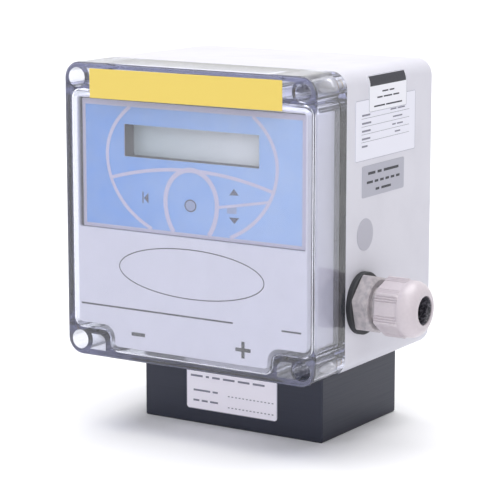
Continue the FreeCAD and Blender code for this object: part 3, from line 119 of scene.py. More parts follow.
paper, tree = finish("white paper")
sheet = add(tree, "BsdfPrincipled", {"Base Color": linear(PAPER_WHITE), "Roughness": 0.9})
add(tree, "OutputMaterial", {"Surface": sheet.outputs[0]})
floor_mesh = bpy.data.meshes.new("floor")
floor_mesh.from_pydata(
    [(-PAPER_HALF, -PAPER_HALF, 0), (PAPER_HALF, -PAPER_HALF, 0), (PAPER_HALF, PAPER_HALF, 0),
     (-PAPER_HALF, PAPER_HALF, 0)], [], [(0, 1, 2, 3)],
)
floor_mesh.materials.append(paper)
floor = bpy.data.objects.new("floor", floor_mesh)
scene.collection.objects.link(floor)

# ------------------------------------------------------------------ manifold block
# The foot of the transmitter takes the two pressure lines from below. It is bar stock in
# aluminium, milled all round and anodised black, with nitrile rings that seal it to the cell.
FEED_MM = 0.45             # between cutter lines, drawn wider than they are so that they show
CUTTER_RUN_MM = 40         # along a line before it looks different
BLOCK_BLACK = "#202331"
BLOCK_GREYER = "#2D303F"
BLOOM_MM = 0.5             # patches on moulded rubber
RUBBER_BLACK = "#202126"


def dress(names, material):
    """Gives CAD nodes their finish."""
    for name in names:
        mesh = nodes[name].data
        for index in range(len(mesh.materials)):
            mesh.materials[index] = material


# The anodised skin is satin. The cutter's level lines show in it as greyer, duller streaks.
block_finish, tree = finish("black anodised aluminium")
place = add(tree, "TexCoord")
stretch = add(
    tree, "Mapping", {
        "Vector": place.outputs["Object"],
        "Scale": (1 / (CUTTER_RUN_MM * MM), 1 / (CUTTER_RUN_MM * MM), 1 / (FEED_MM * MM)),
    },
)
cutter = add(tree, "TexNoise", {"Vector": stretch.outputs[0], "Scale": 1.0, "Detail": 3.0})
marks = add(tree, "Bump", {"Height": cutter.outputs[0], "Strength": 0.35, "Distance": 0.02 * MM})
shade = add(
    tree, "Mix", {
        "Factor": cutter.outputs[0], 6: linear(BLOCK_BLACK), 7: linear(BLOCK_GREYER)
    }, data_type="RGBA",
)
spread = add(tree, "MapRange", {"Value": cutter.outputs[0], 1: 0.3, 2: 0.7, 3: 0.34, 4: 0.5})
anodised = add(
    tree, "BsdfPrincipled", {
        "Base Color": shade.outputs[2], "Metallic": 0.35, "Roughness": spread.outputs[0],
        "Normal": marks.outputs[0],
    },
)
add(tree, "OutputMaterial", {"Surface": anodised.outputs[0]})
dress(["manifold_block"], block_finish)

# Nitrile comes out of its mould dull, with a faint unevenness that breaks up the light.
rubber_finish, tree = finish("black nitrile rubber")
place = add(tree, "TexCoord")
bloom = add(
    tree, "TexNoise",
    {"Vector": place.outputs["Object"], "Scale": 1 / (BLOOM_MM * MM), "Detail": 3.0},
)
skin = add(tree, "Bump", {"Height": bloom.outputs[0], "Strength": 0.3, "Distance": 0.03 * MM})
rubber = add(
    tree, "BsdfPrincipled", {
        "Base Color": linear(RUBBER_BLACK), "Roughness": 0.62, "IOR": 1.52,
        "Normal": skin.outputs[0],
    },
)
add(tree, "OutputMaterial", {"Surface": rubber.outputs[0]})
dress(["port_seals"], rubber_finish)

# ------------------------------------------------------------------ measuring cell
# Two turned aluminium halves with a thin steel diaphragm clamped between them by stainless
# screws. The cell sits on the block, out of sight inside the housing.
TURNING_MM = 0.12          # between the rings that a lathe tool leaves
ALUMINIUM = "#DADBDD"
STAINLESS = "#C6C4C2"


def turned(name, colour, smooth, rough, ring_depth_mm=None):
    """Turned metal: its fine rings make the gloss uneven, and deeper ones catch the light."""
    material, tree = finish(name)
    place = add(tree, "TexCoord")
    rings = add(
        tree, "TexNoise",
        {"Vector": place.outputs["Object"], "Scale": 1 / (TURNING_MM * MM), "Detail": 1.0},
    )
    spread = add(
        tree, "MapRange", {"Value": rings.outputs[0], 1: 0.3, 2: 0.7, 3: smooth, 4: rough}
    )
    surface = {"Base Color": linear(colour), "Metallic": 1.0, "Roughness": spread.outputs[0]}
    if ring_depth_mm:
        lines = add(
            tree, "Bump",
            {"Height": rings.outputs[0], "Strength": 0.1, "Distance": ring_depth_mm * MM},
        )
        surface["Normal"] = lines.outputs[0]
    metal = add(tree, "BsdfPrincipled", surface)
    add(tree, "OutputMaterial", {"Surface": metal.outputs[0]})
    return material


# Aluminium is the paler and softer of the two in its shine, stainless the warmer and sharper.
aluminium_finish = turned("fine turned aluminium", ALUMINIUM, 0.28, 0.42)
steel_finish = turned("turned stainless steel", STAINLESS, 0.24, 0.38, ring_depth_mm=0.01)
dress(["cell_half_low", "cell_half_high"], aluminium_finish)
dress(["clamp_screws", "sensing_diaphragm"], steel_finish)

# ------------------------------------------------------------------ rear housing
# The deep half of the wall case is one moulding in light grey ABS, screwed down on the block.
# Brass inserts for the lid screws are set into its corner posts.
GRAIN_MM = 0.35            # of the eroded mould, drawn coarser than it is so that it shows
HANDLING_MM = 18           # patches that hands and cloths leave
HOUSING_GREY = "#D3D2DC"
HOUSING_DULL = "#C8C7D1"
BRASS = "#CBA863"

# The mould was spark eroded: an even matt grain, dulled in soft patches by years of handling.
housing_finish, tree = finish("grained light grey ABS")
place = add(tree, "TexCoord")
handling = add(
    tree, "TexNoise",
    {"Vector": place.outputs["Object"], "Scale": 1 / (HANDLING_MM * MM), "Detail": 4.0},
)
dulling = add(
    tree, "MapRange", {"Value": handling.outputs[0], 1: 0.45, 2: 0.75, 3: 0.0, 4: 0.35}
)
tone = add(
    tree, "Mix", {
        "Factor": dulling.outputs[0], 6: linear(HOUSING_GREY), 7: linear(HOUSING_DULL)
    }, data_type="RGBA",
)
shine = add(tree, "MapRange", {"Value": handling.outputs[0], 1: 0.3, 2: 0.7, 3: 0.42, 4: 0.55})
grain = add(
    tree, "TexNoise",
    {"Vector": place.outputs["Object"], "Scale": 1 / (GRAIN_MM * MM), "Detail": 2.0},
)
relief = add(tree, "Bump", {"Height": grain.outputs[0], "Strength": 0.25, "Distance": 0.02 * MM})
plastic = add(
    tree, "BsdfPrincipled", {
        "Base Color": tone.outputs[2], "Roughness": shine.outputs[0], "IOR": 1.54,
        "Normal": relief.outputs[0],
    },
)
add(tree, "OutputMaterial", {"Surface": plastic.outputs[0]})
dress(["rear_housing"], housing_finish)

# The brass shows as small warm yellow rings in the posts once the lid is off.
dress(["thread_inserts"], turned("turned brass", BRASS, 0.25, 0.4))
dress(["block_screws"], steel_finish)

# ------------------------------------------------------------------ cable gland
# Three polyamide mouldings: a body through the housing's wall, held by a locknut against a
# rubber washer, and a ribbed nut that squeezes a rubber sleeve round the cable.
PEEL_MM = 1.2              # of the mould's polish
BLOTCH_MM = 2.2
DUST_MM = 0.9
GLAND_GREY = "#CEC5CB"
GLAND_SHADED = "#C3BAC1"
# The body's greys are partly painted shade from the nut over it.
BODY_GREY_IN_SHADE = "#C0B9BC"
BODY_BLOTCHED = "#A29DA3"
SLEEVE_BLACK = "#26252D"
SLEEVE_DUSTY = "#7D7A84"

# Polyamide from a polished mould: a soft gloss over a faint orange peel.
gland_finish, tree = finish("light grey polyamide")
place = add(tree, "TexCoord")
peel = add(
    tree, "TexNoise",
    {"Vector": place.outputs["Object"], "Scale": 1 / (PEEL_MM * MM), "Detail": 2.0},
)
skin = add(tree, "Bump", {"Height": peel.outputs[0], "Strength": 0.2, "Distance": 0.04 * MM})
tone = add(
    tree, "Mix", {"Factor": peel.outputs[0], 6: linear(GLAND_GREY), 7: linear(GLAND_SHADED)},
    data_type="RGBA",
)
polyamide = add(
    tree, "BsdfPrincipled", {
        "Base Color": tone.outputs[2], "Roughness": 0.3, "IOR": 1.53, "Normal": skin.outputs[0],
    },
)
add(tree, "OutputMaterial", {"Surface": polyamide.outputs[0]})
dress(["gland_nut", "gland_locknut"], gland_finish)

# The body is drawn greyer than the nut, partly as painted shade from the nut and partly from years
# of handling, which have also blotched it.
shaded_worn_finish, tree = finish("light grey polyamide gone dull in painted shade")
place = add(tree, "TexCoord")
blotch = add(
    tree, "TexNoise",
    {"Vector": place.outputs["Object"], "Scale": 1 / (BLOTCH_MM * MM), "Detail": 6.0},
)
spread = add(tree, "MapRange", {"Value": blotch.outputs[0], 1: 0.35, 2: 0.65, 3: 0.0, 4: 1.0})
tone = add(
    tree, "Mix", {"Factor": spread.outputs[0], 6: linear(BODY_GREY_IN_SHADE), 7: linear(BODY_BLOTCHED)},
    data_type="RGBA",
)
skin = add(tree, "Bump", {"Height": blotch.outputs[0], "Strength": 0.25, "Distance": 0.05 * MM})
polyamide = add(
    tree, "BsdfPrincipled", {
        "Base Color": tone.outputs[2], "Roughness": 0.5, "IOR": 1.53, "Normal": skin.outputs[0],
    },
)
add(tree, "OutputMaterial", {"Surface": polyamide.outputs[0]})
dress(["gland_body"], shaded_worn_finish)

# The sleeve is softer rubber, wiped shiny at its mouth, with grey dust in the low spots.
sleeve_finish, tree = finish("dusty chloroprene rubber")
place = add(tree, "TexCoord")
dust = add(
    tree, "TexNoise",
    {"Vector": place.outputs["Object"], "Scale": 1 / (DUST_MM * MM), "Detail": 4.0},
)
spread = add(tree, "MapRange", {"Value": dust.outputs[0], 1: 0.45, 2: 0.7, 3: 0.0, 4: 1.0})
tone = add(
    tree, "Mix", {"Factor": spread.outputs[0], 6: linear(SLEEVE_BLACK), 7: linear(SLEEVE_DUSTY)},
    data_type="RGBA",
)
skin = add(tree, "Bump", {"Height": dust.outputs[0], "Strength": 0.4, "Distance": 0.05 * MM})
rubber = add(
    tree, "BsdfPrincipled", {
        "Base Color": tone.outputs[2], "Roughness": 0.35, "IOR": 1.52, "Normal": skin.outputs[0],
    },
)
add(tree, "OutputMaterial", {"Surface": rubber.outputs[0]})
dress(["gland_sleeve"], sleeve_finish)
dress(["gland_washer"], rubber_finish)

# ------------------------------------------------------------------ boards and their parts
# Two glass-fibre boards held by small screws, with black moulded parts, a green terminal block,
# aluminium cans and a grey flat cable between them. The cover hides all but the display.
WEAVE_MM = 4               # a bundle of the glass cloth, drawn coarser than it is so that it shows
LACQUER_GREEN = "#0E5A33"
LACQUER_BRIGHTER = "#11653A"
LACQUER_BETWEEN = "#1A7A48"
MOULDING_MM = 0.4          # patches on small moulded parts
EPOXY_BLACK = "#26272B"
TERMINAL_GREEN = "#2E7A4A"
CABLE_GREY = "#A4A5AA"

# Solder lacquer is glossy green, and the glass cloth under it shows as a faint weave.
board_finish, tree = finish("green solder lacquer")
place = add(tree, "TexCoord")
weave = add(tree, "TexBrick", {
    "Vector": place.outputs["Object"], "Scale": 1 / (WEAVE_MM * MM),
    "Color1": linear(LACQUER_GREEN), "Color2": linear(LACQUER_BRIGHTER),
    "Mortar": linear(LACQUER_BETWEEN), "Mortar Size": 0.06,
})
lacquer = add(
    tree, "BsdfPrincipled", {"Base Color": weave.outputs[0], "Roughness": 0.3, "IOR": 1.55},
)
add(tree, "OutputMaterial", {"Surface": lacquer.outputs[0]})
dress(["display_board", "main_board"], board_finish)

# The moulded parts are even in colour and half matt, with a skin that is never quite flat.
for finish_name, colour, roughness, members in (
    ("black moulded epoxy", EPOXY_BLACK, 0.55,
     ["processor", "power_module", "main_header", "display_header", "key_switches",
      "key_plunger_left", "key_plunger_centre", "key_plunger_up", "key_plunger_down"]),
    ("green polyamide", TERMINAL_GREEN, 0.4, ["terminal_block"]),
    ("grey cable insulation", CABLE_GREY, 0.5, ["ribbon_cable"]),
):
    moulded, tree = finish(finish_name)
    place = add(tree, "TexCoord")
    bloom = add(
        tree, "TexNoise",
        {"Vector": place.outputs["Object"], "Scale": 1 / (MOULDING_MM * MM), "Detail": 2.0},
    )
    skin = add(tree, "Bump", {"Height": bloom.outputs[0], "Strength": 0.2, "Distance": 0.02 * MM})
    body = add(
        tree, "BsdfPrincipled", {
            "Base Color": linear(colour), "Roughness": roughness, "IOR": 1.53,
            "Normal": skin.outputs[0],
        },
    )
    add(tree, "OutputMaterial", {"Surface": body.outputs[0]})
    dress(members, moulded)
dress(["capacitors"], aluminium_finish)
dress(["main_board_screws", "terminal_screws", "display_screws"], steel_finish)

# ------------------------------------------------------------------ display
# A one-line character display, clamped to its board by a pressed steel frame painted black. Its
# glass is grey-green when it is off.
GLASS_GREEN_SHADED = "#BECFCE"
GLASS_PALE_LIT = "#FBFFFC"
GLASS_SHADE_SPAN = (-36, 18)    # mm across, from the painted shade by the frame's left side to where it is palest
PAINT_PEEL_MM = 0.8
FRAME_BLACK = "#202228"

# The polariser on the glass is half matt under a clear film. Painted shade from the frame darkens
# it towards the left, and it is palest to the right.
glass_finish, tree = finish("grey-green display glass")
place = add(tree, "TexCoord")
spot = add(tree, "SeparateXYZ", {0: place.outputs["Object"]})
glass_shade = add(
    tree, "MapRange", {"Value": spot.outputs[0], 1: GLASS_SHADE_SPAN[0] * MM, 2: GLASS_SHADE_SPAN[1] * MM}
)
tone = add(
    tree, "Mix", {"Factor": glass_shade.outputs[0], 6: linear(GLASS_GREEN_SHADED), 7: linear(GLASS_PALE_LIT)},
    data_type="RGBA",
)
pane = add(
    tree, "BsdfPrincipled", {
        "Base Color": tone.outputs[2], "Roughness": 0.25, "IOR": 1.52, "Coat Weight": 0.3,
        "Coat Roughness": 0.1,
    },
)
add(tree, "OutputMaterial", {"Surface": pane.outputs[0]})
dress(["display_glass"], glass_finish)

# Sprayed paint: half matt, with a slight orange peel.
black_finish, tree = finish("black painted steel")
place = add(tree, "TexCoord")
peel = add(
    tree, "TexNoise",
    {"Vector": place.outputs["Object"], "Scale": 1 / (PAINT_PEEL_MM * MM), "Detail": 2.0},
)
skin = add(tree, "Bump", {"Height": peel.outputs[0], "Strength": 0.15, "Distance": 0.02 * MM})
paint = add(
    tree, "BsdfPrincipled", {
        "Base Color": linear(FRAME_BLACK), "Roughness": 0.5, "Normal": skin.outputs[0],
    },
)
add(tree, "OutputMaterial", {"Surface": paint.outputs[0]})
dress(["display_frame"], black_finish)

# ------------------------------------------------------------------ inner cover
# A white ABS moulding that hides the electronics and carries the keypad film. The oval, the
# rule and the signs of the two ports are screen printed on its lower half.
SILK_MM = 0.25             # of the mould's finish, drawn coarser than it is so that it shows
CLOUD_MM = 30
COVER_WHITE = "#E2E0E6"
COVER_SHADED = "#DCDAE1"
# Painted shade in the pocket round the keypad film: its colour, the depths over which it comes in,
# and the pocket's edges where it fades out.
POCKET_PAINTED_SHADE = "#3B3846"
SHADE_FROM_Y = -61.0
SHADE_FULL_Y = -59.3
POCKET_HALF_X = 54.8
POCKET_Z = (85.4, 139.9)
POCKET_FADE = 0.1
INK_BLACK = "#101117"
INK_PATCH_MM = 0.6
INK_THICKNESS = 0.02       # drawn thicker than it is so that it stays clear of what it lies on
OVAL_CENTRE = (0.6, 71.1)
OVAL_HALF = (34.9, 10.1)
HAIRLINE = 0.42
RULE_WIDTH = 0.7
RULE_LONG = ((-53.9, 53.6), (20.9, 53.6))
RULE_SHORT = ((43.7, 53.2), (52.7, 53.2))
SIGN_STROKE = 1.5
MINUS = ((-28.6, 43.3), (-21.9, 43.3))
PLUS_LEVEL = ((22.1, 43.2), (29.3, 43.2))
PLUS_UPRIGHT = ((25.7, 39.8), (25.7, 46.6))

# The mould has a silk finish: a soft, even sheen. In the pocket round the keypad film, painted
# shade darkens the walls with depth, darkest in the slit round the film.
cover_finish, tree = finish("white ABS with a silk finish")
place = add(tree, "TexCoord")
silk = add(
    tree, "TexNoise",
    {"Vector": place.outputs["Object"], "Scale": 1 / (SILK_MM * MM), "Detail": 2.0},
)
relief = add(tree, "Bump", {"Height": silk.outputs[0], "Strength": 0.15, "Distance": 0.01 * MM})
clouds = add(
    tree, "TexNoise",
    {"Vector": place.outputs["Object"], "Scale": 1 / (CLOUD_MM * MM), "Detail": 2.0},
)
tone = add(
    tree, "Mix", {"Factor": clouds.outputs[0], 6: linear(COVER_WHITE), 7: linear(COVER_SHADED)},
    data_type="RGBA",
)
spot = add(tree, "SeparateXYZ", {0: place.outputs["Object"]})
sideways = add(tree, "Math", {0: spot.outputs[0]}, operation="ABSOLUTE")
# Painted shade: darker with depth in the pocket, inside its edges.
pocket_shade = add(
    tree, "MapRange", {"Value": spot.outputs[1], 1: SHADE_FROM_Y * MM, 2: SHADE_FULL_Y * MM}
)
for where, clean, dirty in (
    (sideways.outputs[0], POCKET_HALF_X + POCKET_FADE, POCKET_HALF_X - POCKET_FADE),
    (spot.outputs[2], POCKET_Z[1] + POCKET_FADE, POCKET_Z[1] - POCKET_FADE),
    (spot.outputs[2], POCKET_Z[0] - 2 * POCKET_FADE, POCKET_Z[0] + 2 * POCKET_FADE),
):
    within = add(tree, "MapRange", {"Value": where, 1: clean * MM, 2: dirty * MM})
    pocket_shade = add(tree, "Math", {0: pocket_shade.outputs[0], 1: within.outputs[0]}, operation="MULTIPLY")
tone = add(
    tree, "Mix", {"Factor": pocket_shade.outputs[0], 6: tone.outputs[2], 7: linear(POCKET_PAINTED_SHADE)},
    data_type="RGBA",
)
plastic = add(
    tree, "BsdfPrincipled", {
        "Base Color": tone.outputs[2], "Roughness": 0.38, "IOR": 1.54, "Normal": relief.outputs[0],
    },
)
add(tree, "OutputMaterial", {"Surface": plastic.outputs[0]})
dress(["inner_cover"], cover_finish)


def ink(name, colour, roughness):
    """Screen ink or a printed film: an even colour with a slightly uneven gloss."""
    material, tree = finish(name)
    place = add(tree, "TexCoord")
    lay = add(
        tree, "TexNoise",
        {"Vector": place.outputs["Object"], "Scale": 1 / (INK_PATCH_MM * MM), "Detail": 3.0},
    )
    gloss = add(
        tree, "MapRange",
        {"Value": lay.outputs[0], 1: 0.3, 2: 0.7, 3: roughness - 0.06, 4: roughness + 0.06},
    )
    film = add(
        tree, "BsdfPrincipled",
        {"Base Color": linear(colour), "Roughness": gloss.outputs[0], "IOR": 1.5},
    )
    add(tree, "OutputMaterial", {"Surface": film.outputs[0]})
    return material


def stroke(points, width, closed=False):
    """A band of even width along points, as corners and faces."""
    corners = []
    count = len(points)
    for index, (u, v) in enumerate(points):
        before = points[index - 1] if index or closed else points[index]
        after = points[(index + 1) % count] if index < count - 1 or closed else points[index]
        du, dv = after[0] - before[0], after[1] - before[1]
        size = math.hypot(du, dv)
        du, dv = du / size * width / 2, dv / size * width / 2
        corners += [(u - dv, v + du), (u + dv, v - du)]
    last = count if closed else count - 1
    faces = []
    for index in range(last):
        a, b = 2 * index, 2 * ((index + 1) % count)
        faces.append((a, a + 1, b + 1, b))
    return corners, faces


def arc_points(centre, half, start, end, steps):
    """Points on an ellipse, its angles in degrees counted from its right end upwards."""
    points = []
    for step in range(steps):
        turn = math.radians(start + (end - start) * step / (steps - 1))
        points.append((centre[0] + half[0] * math.cos(turn), centre[1] + half[1] * math.sin(turn)))
    return points


def print_on(name, shapes, surface, rise, material, body_name):
    """Lays flat shapes on a surface as thin closed plates.

    Surface turns a place across, a place up and a height into a point.
    """
    corners, faces = [], []
    for outline, shape_faces in shapes:
        low = len(corners)
        high = low + len(outline)
        corners += [surface(u, v, rise) for u, v in outline]
        corners += [surface(u, v, rise + INK_THICKNESS) for u, v in outline]
        edges = {}
        for face in shape_faces:
            faces.append([high + i for i in face])
            faces.append([low + i for i in reversed(face)])
            for a, b in zip(face, face[1:] + face[:1]):
                edges[(a, b)] = True
        for a, b in edges:
            if (b, a) not in edges:
                faces.append([low + a, low + b, high + b, high + a])
    mesh = bpy.data.meshes.new(name)
    mesh.from_pydata([[c * MM for c in corner] for corner in corners], [], faces)
    mesh.materials.append(material)
    piece = bpy.data.objects.new(name, mesh)
    scene.collection.objects.link(piece)
    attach(piece, body_name)


cover_low, cover_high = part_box("inner_cover")
cover_face_y = cover_low[1] / MM


def on_cover(u, v, height):
    """A place on the cover's face, in millimetres across and up."""
    return (u, cover_face_y - height, v)


# Screen ink dries to a flat black with hardly any shine.
print_on(
    "cover_print",
    [
        stroke(arc_points(OVAL_CENTRE, OVAL_HALF, 0, 356, 90), HAIRLINE, closed=True),
        stroke(RULE_LONG, RULE_WIDTH),
        stroke(RULE_SHORT, RULE_WIDTH),
        stroke(MINUS, SIGN_STROKE),
        stroke(PLUS_LEVEL, SIGN_STROKE),
        stroke(PLUS_UPRIGHT, SIGN_STROKE),
    ],
    on_cover, 0.0, ink("black screen ink", INK_BLACK, 0.5), "housing",
)

# ------------------------------------------------------------------ keypad
# A printed polyester film, glued to the cover over the keys: a blue field with a pale border, and
# pale lines that group the keys under the display. The key symbols are the usual ones.
BORDER_PALE = "#C9C4D4"
FIELD_BLUE = "#6A9FE0"
FIELD_BLEACHED_AND_LIT = "#AECBEF"
FIELD_PATCH_MM = 7
# Across these places the field is painted paler towards the right, as a painted reflection.
REFLECTION_FROM_X = -45
REFLECTION_TO_X = 45
FIELD_X = (-52.2, 51.6)
FIELD_Z = (87.4, 136.6)
FIELD_RISE = 0.01
WINDOW_X = (-32.85, 31.85)
WINDOW_Z = (116.3, 129.5)
LINE_PALE = "#CFC9DA"
LINE_OVERHANG = 0.4        # of the lines past the field's upper and lower edges
RING_CENTRE = (-0.6, 116.8)
RING_HALF_WIDTH = 40.8
RING_UP = 28.6
RING_DOWN = 33.0
RING_STROKE = 1.5
RING_RISE = 0.04
BOW_CENTRE_X = -0.1
BOW_TOP_Z = 112.9
BOW_HALF = 39.4
BOW_SAG = 5.8
BOW_STEPS = 40
BOW_STROKE = 1.4
BOW_RISE = 0.07
BRANCH = ((11.9, 99.1), (20.9, 100.6), (37.3, 103.5))
BRANCH_STROKE = 1.1
OVAL_KEY = (-0.3, 99.8)
OVAL_KEY_HALF = 12.4
OVAL_KEY_UP = 13.3
OVAL_KEY_DOWN = 17.0
OVAL_KEY_STROKE = 2.0
OVAL_KEY_RISE = 0.10
SYMBOL_GREY = "#4A5064"
SYMBOL_STROKE = 0.55
SYMBOL_RISE = 0.05
STEP_BACK_BAR = ((-23.8, 97.7), (-23.8, 102.5))
STEP_BACK_ARROW = ((-21.1, 97.8), (-21.1, 102.3), (-23.3, 99.9))
UP_ARROW = ((17.9, 104.6), (22.4, 104.8), (20.1, 107.3))
DOWN_ARROW = ((17.8, 95.7), (20.3, 93.3), (22.6, 95.8))
ROUND_KEY = (-0.6, 98.7)
ROUND_KEY_HALF = (2.6, 2.3)
MARK_GREY = "#98A5C2"
MARK_RISE = 0.03
ROUND_MARK_HALF = (2.3, 2.0)
SQUARE_MARK = ((16.8, 97.2), (21.3, 97.3), (21.3, 100.7), (16.8, 100.5))

# The film is smooth polyester over pale ink, so it is a little glossier than the cover.
dress(["keypad_overlay"], ink("pale border of the keypad film", BORDER_PALE, 0.32))
overlay_low, overlay_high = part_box("keypad_overlay")
overlay_y = overlay_low[1] / MM


def on_overlay(u, v, height):
    """A place on the keypad film, in millimetres across and up."""
    return (u, overlay_y - height, v)


def area(points):
    """A filled outline."""
    return list(points), [tuple(range(len(points)))]


def rectangle(across, up):
    """A filled rectangle."""
    return area([(across[0], up[0]), (across[1], up[0]), (across[1], up[1]), (across[0], up[1])])


def within_field(points):
    """The points that lie on the blue field or just past its upper and lower edges."""
    low, high = FIELD_Z[0] - LINE_OVERHANG, FIELD_Z[1] + LINE_OVERHANG
    return [(u, v) for u, v in points if low <= v <= high]


# The blue has bleached in patches, and a painted reflection of the lid makes it paler towards the
# right.
field_finish, tree = finish("blue print under polyester")
place = add(tree, "TexCoord")
lay = add(
    tree, "TexNoise",
    {"Vector": place.outputs["Object"], "Scale": 1 / (FIELD_PATCH_MM * MM), "Detail": 6.0},
)
spot = add(tree, "SeparateXYZ", {0: place.outputs["Object"]})
painted_reflection = add(
    tree, "MapRange", {
        "Value": spot.outputs[0], 1: REFLECTION_FROM_X * MM, 2: REFLECTION_TO_X * MM, 3: -0.2, 4: 0.5,
    },
)
uneven = add(
    tree, "Math", {0: lay.outputs[0], 1: 0.5, 2: painted_reflection.outputs[0]}, operation="MULTIPLY_ADD"
)
mottle = add(
    tree, "Mix", {"Factor": uneven.outputs[0], 6: linear(FIELD_BLUE), 7: linear(FIELD_BLEACHED_AND_LIT)},
    data_type="RGBA",
)
film = add(
    tree, "BsdfPrincipled", {"Base Color": mottle.outputs[2], "Roughness": 0.3, "IOR": 1.57},
)
add(tree, "OutputMaterial", {"Surface": film.outputs[0]})
print_on(
    "keypad_field",
    [
        rectangle(FIELD_X, (FIELD_Z[0], WINDOW_Z[0])),
        rectangle(FIELD_X, (WINDOW_Z[1], FIELD_Z[1])),
        rectangle((FIELD_X[0], WINDOW_X[0]), WINDOW_Z),
        rectangle((WINDOW_X[1], FIELD_X[1]), WINDOW_Z),
    ],
    on_overlay, FIELD_RISE, field_finish, "housing",
)

# Each group of lines lies a little higher than the one that it crosses.
ring_upper, ring_lower = (RING_HALF_WIDTH, RING_UP), (RING_HALF_WIDTH, RING_DOWN)
ring_left = arc_points(RING_CENTRE, ring_upper, 90, 180, 40)
ring_left += arc_points(RING_CENTRE, ring_lower, 180, 270, 40)[1:]
ring_right = arc_points(RING_CENTRE, ring_upper, 90, 0, 40)
ring_right += arc_points(RING_CENTRE, ring_lower, 0, -90, 40)[1:]
bow = []
for step in range(BOW_STEPS + 1):
    across = step / (BOW_STEPS / 2) - 1
    bow.append((BOW_CENTRE_X + BOW_HALF * across, BOW_TOP_Z - BOW_SAG * across * across))
key_oval = arc_points(OVAL_KEY, (OVAL_KEY_HALF, OVAL_KEY_DOWN), -90, 0, 24)[:-1]
key_oval += arc_points(OVAL_KEY, (OVAL_KEY_HALF, OVAL_KEY_UP), 0, 180, 48)[:-1]
key_oval += arc_points(OVAL_KEY, (OVAL_KEY_HALF, OVAL_KEY_DOWN), 180, 270, 24)
line_ink = ink("pale lines of the keypad film", LINE_PALE, 0.32)
for lines_name, rise, lines in (
    ("keypad_ring", RING_RISE,
     [stroke(within_field(ring_left), RING_STROKE), stroke(within_field(ring_right), RING_STROKE)]),
    ("keypad_bow", BOW_RISE, [stroke(bow, BOW_STROKE), stroke(BRANCH, BRANCH_STROKE)]),
    ("keypad_oval", OVAL_KEY_RISE, [stroke(within_field(key_oval), OVAL_KEY_STROKE)]),
):
    print_on(lines_name, lines, on_overlay, rise, line_ink, "housing")

# A step back, a round key, up and down, in grey, and two paler marks under them.
print_on(
    "keypad_symbols",
    [
        stroke(STEP_BACK_BAR, SYMBOL_STROKE),
        area(STEP_BACK_ARROW),
        stroke(arc_points(ROUND_KEY, ROUND_KEY_HALF, 0, 350, 36), SYMBOL_STROKE, closed=True),
        area(UP_ARROW),
        area(DOWN_ARROW),
    ],
    on_overlay, SYMBOL_RISE, ink("grey key symbols", SYMBOL_GREY, 0.35), "housing",
)
print_on(
    "keypad_marks",
    [area(arc_points(ROUND_KEY, ROUND_MARK_HALF, 0, 350, 36)), area(SQUARE_MARK)],
    on_overlay, MARK_RISE, ink("pale key marks", MARK_GREY, 0.35), "housing",
)

# ------------------------------------------------------------------ lid seal
# A cord of polyurethane foam, poured into the lid's groove, where it sets and stays. The
# housing's tongue presses into it.
FOAM_MM = 0.5              # a cell of the foam
FOAM_DARK = "#30323F"
FOAM_PALER = "#464859"

# The foam's skin is dark and matt, with fine cells that show as a slight mottle.
seal_finish, tree = finish("foamed polyurethane")
place = add(tree, "TexCoord")
cells = add(
    tree, "TexVoronoi", {"Vector": place.outputs["Object"], "Scale": 1 / (FOAM_MM * MM)}
)
skin = add(tree, "Bump", {"Height": cells.outputs[0], "Strength": 0.4, "Distance": 0.06 * MM})
shade = add(
    tree, "Mix", {"Factor": cells.outputs[0], 6: linear(FOAM_DARK), 7: linear(FOAM_PALER)},
    data_type="RGBA",
)
foam = add(
    tree, "BsdfPrincipled", {
        "Base Color": shade.outputs[2], "Roughness": 0.75, "IOR": 1.5, "Normal": skin.outputs[0],
    },
)
add(tree, "OutputMaterial", {"Surface": foam.outputs[0]})
dress(["lid_seal"], seal_finish)

# ------------------------------------------------------------------ clear lid
# One deep moulding in clear polycarbonate, polished inside and out. Four captive stainless
# screws in its corner wells hold it down on the housing.
LID_CLEAR = "#FBFCFF"
LID_SHADOW = "#FAFBFE"     # what light keeps of its colour on the way through
LID_TINT = "#848CC4"
LID_TINT_DENSITY = 52.0    # per metre
WIPING_MM = 9              # patches that a cloth leaves

# Polycarbonate bends light strongly, and long ways through it, as along its edges, look
# blue-grey. Wiping has left a faint milky veil and an uneven gloss.
lid_finish, tree = finish("clear polished polycarbonate")
place = add(tree, "TexCoord")
wear = add(
    tree, "TexNoise",
    {"Vector": place.outputs["Object"], "Scale": 1 / (WIPING_MM * MM), "Detail": 5.0},
)
haze = add(tree, "MapRange", {"Value": wear.outputs[0], 1: 0.35, 2: 0.75, 3: 0.05, 4: 0.13})
veil = add(tree, "MapRange", {"Value": wear.outputs[0], 1: 0.3, 2: 0.7, 3: 0.984, 4: 0.95})
clear = add(
    tree, "BsdfPrincipled", {
        "Base Color": linear(LID_CLEAR), "Roughness": haze.outputs[0], "IOR": 1.585,
        "Transmission Weight": veil.outputs[0],
    },
)
let_through = add(tree, "BsdfTransparent", {"Color": linear(LID_SHADOW)})
rays = add(tree, "LightPath")
body = add(
    tree, "MixShader",
    {0: rays.outputs["Is Shadow Ray"], 1: clear.outputs[0], 2: let_through.outputs[0]},
)
tint = add(tree, "VolumeAbsorption", {"Color": linear(LID_TINT), "Density": LID_TINT_DENSITY})
add(tree, "OutputMaterial", {"Surface": body.outputs[0], "Volume": tint.outputs[0]})
dress(["clear_lid"], lid_finish)
dress(["lid_screws"], steel_finish)

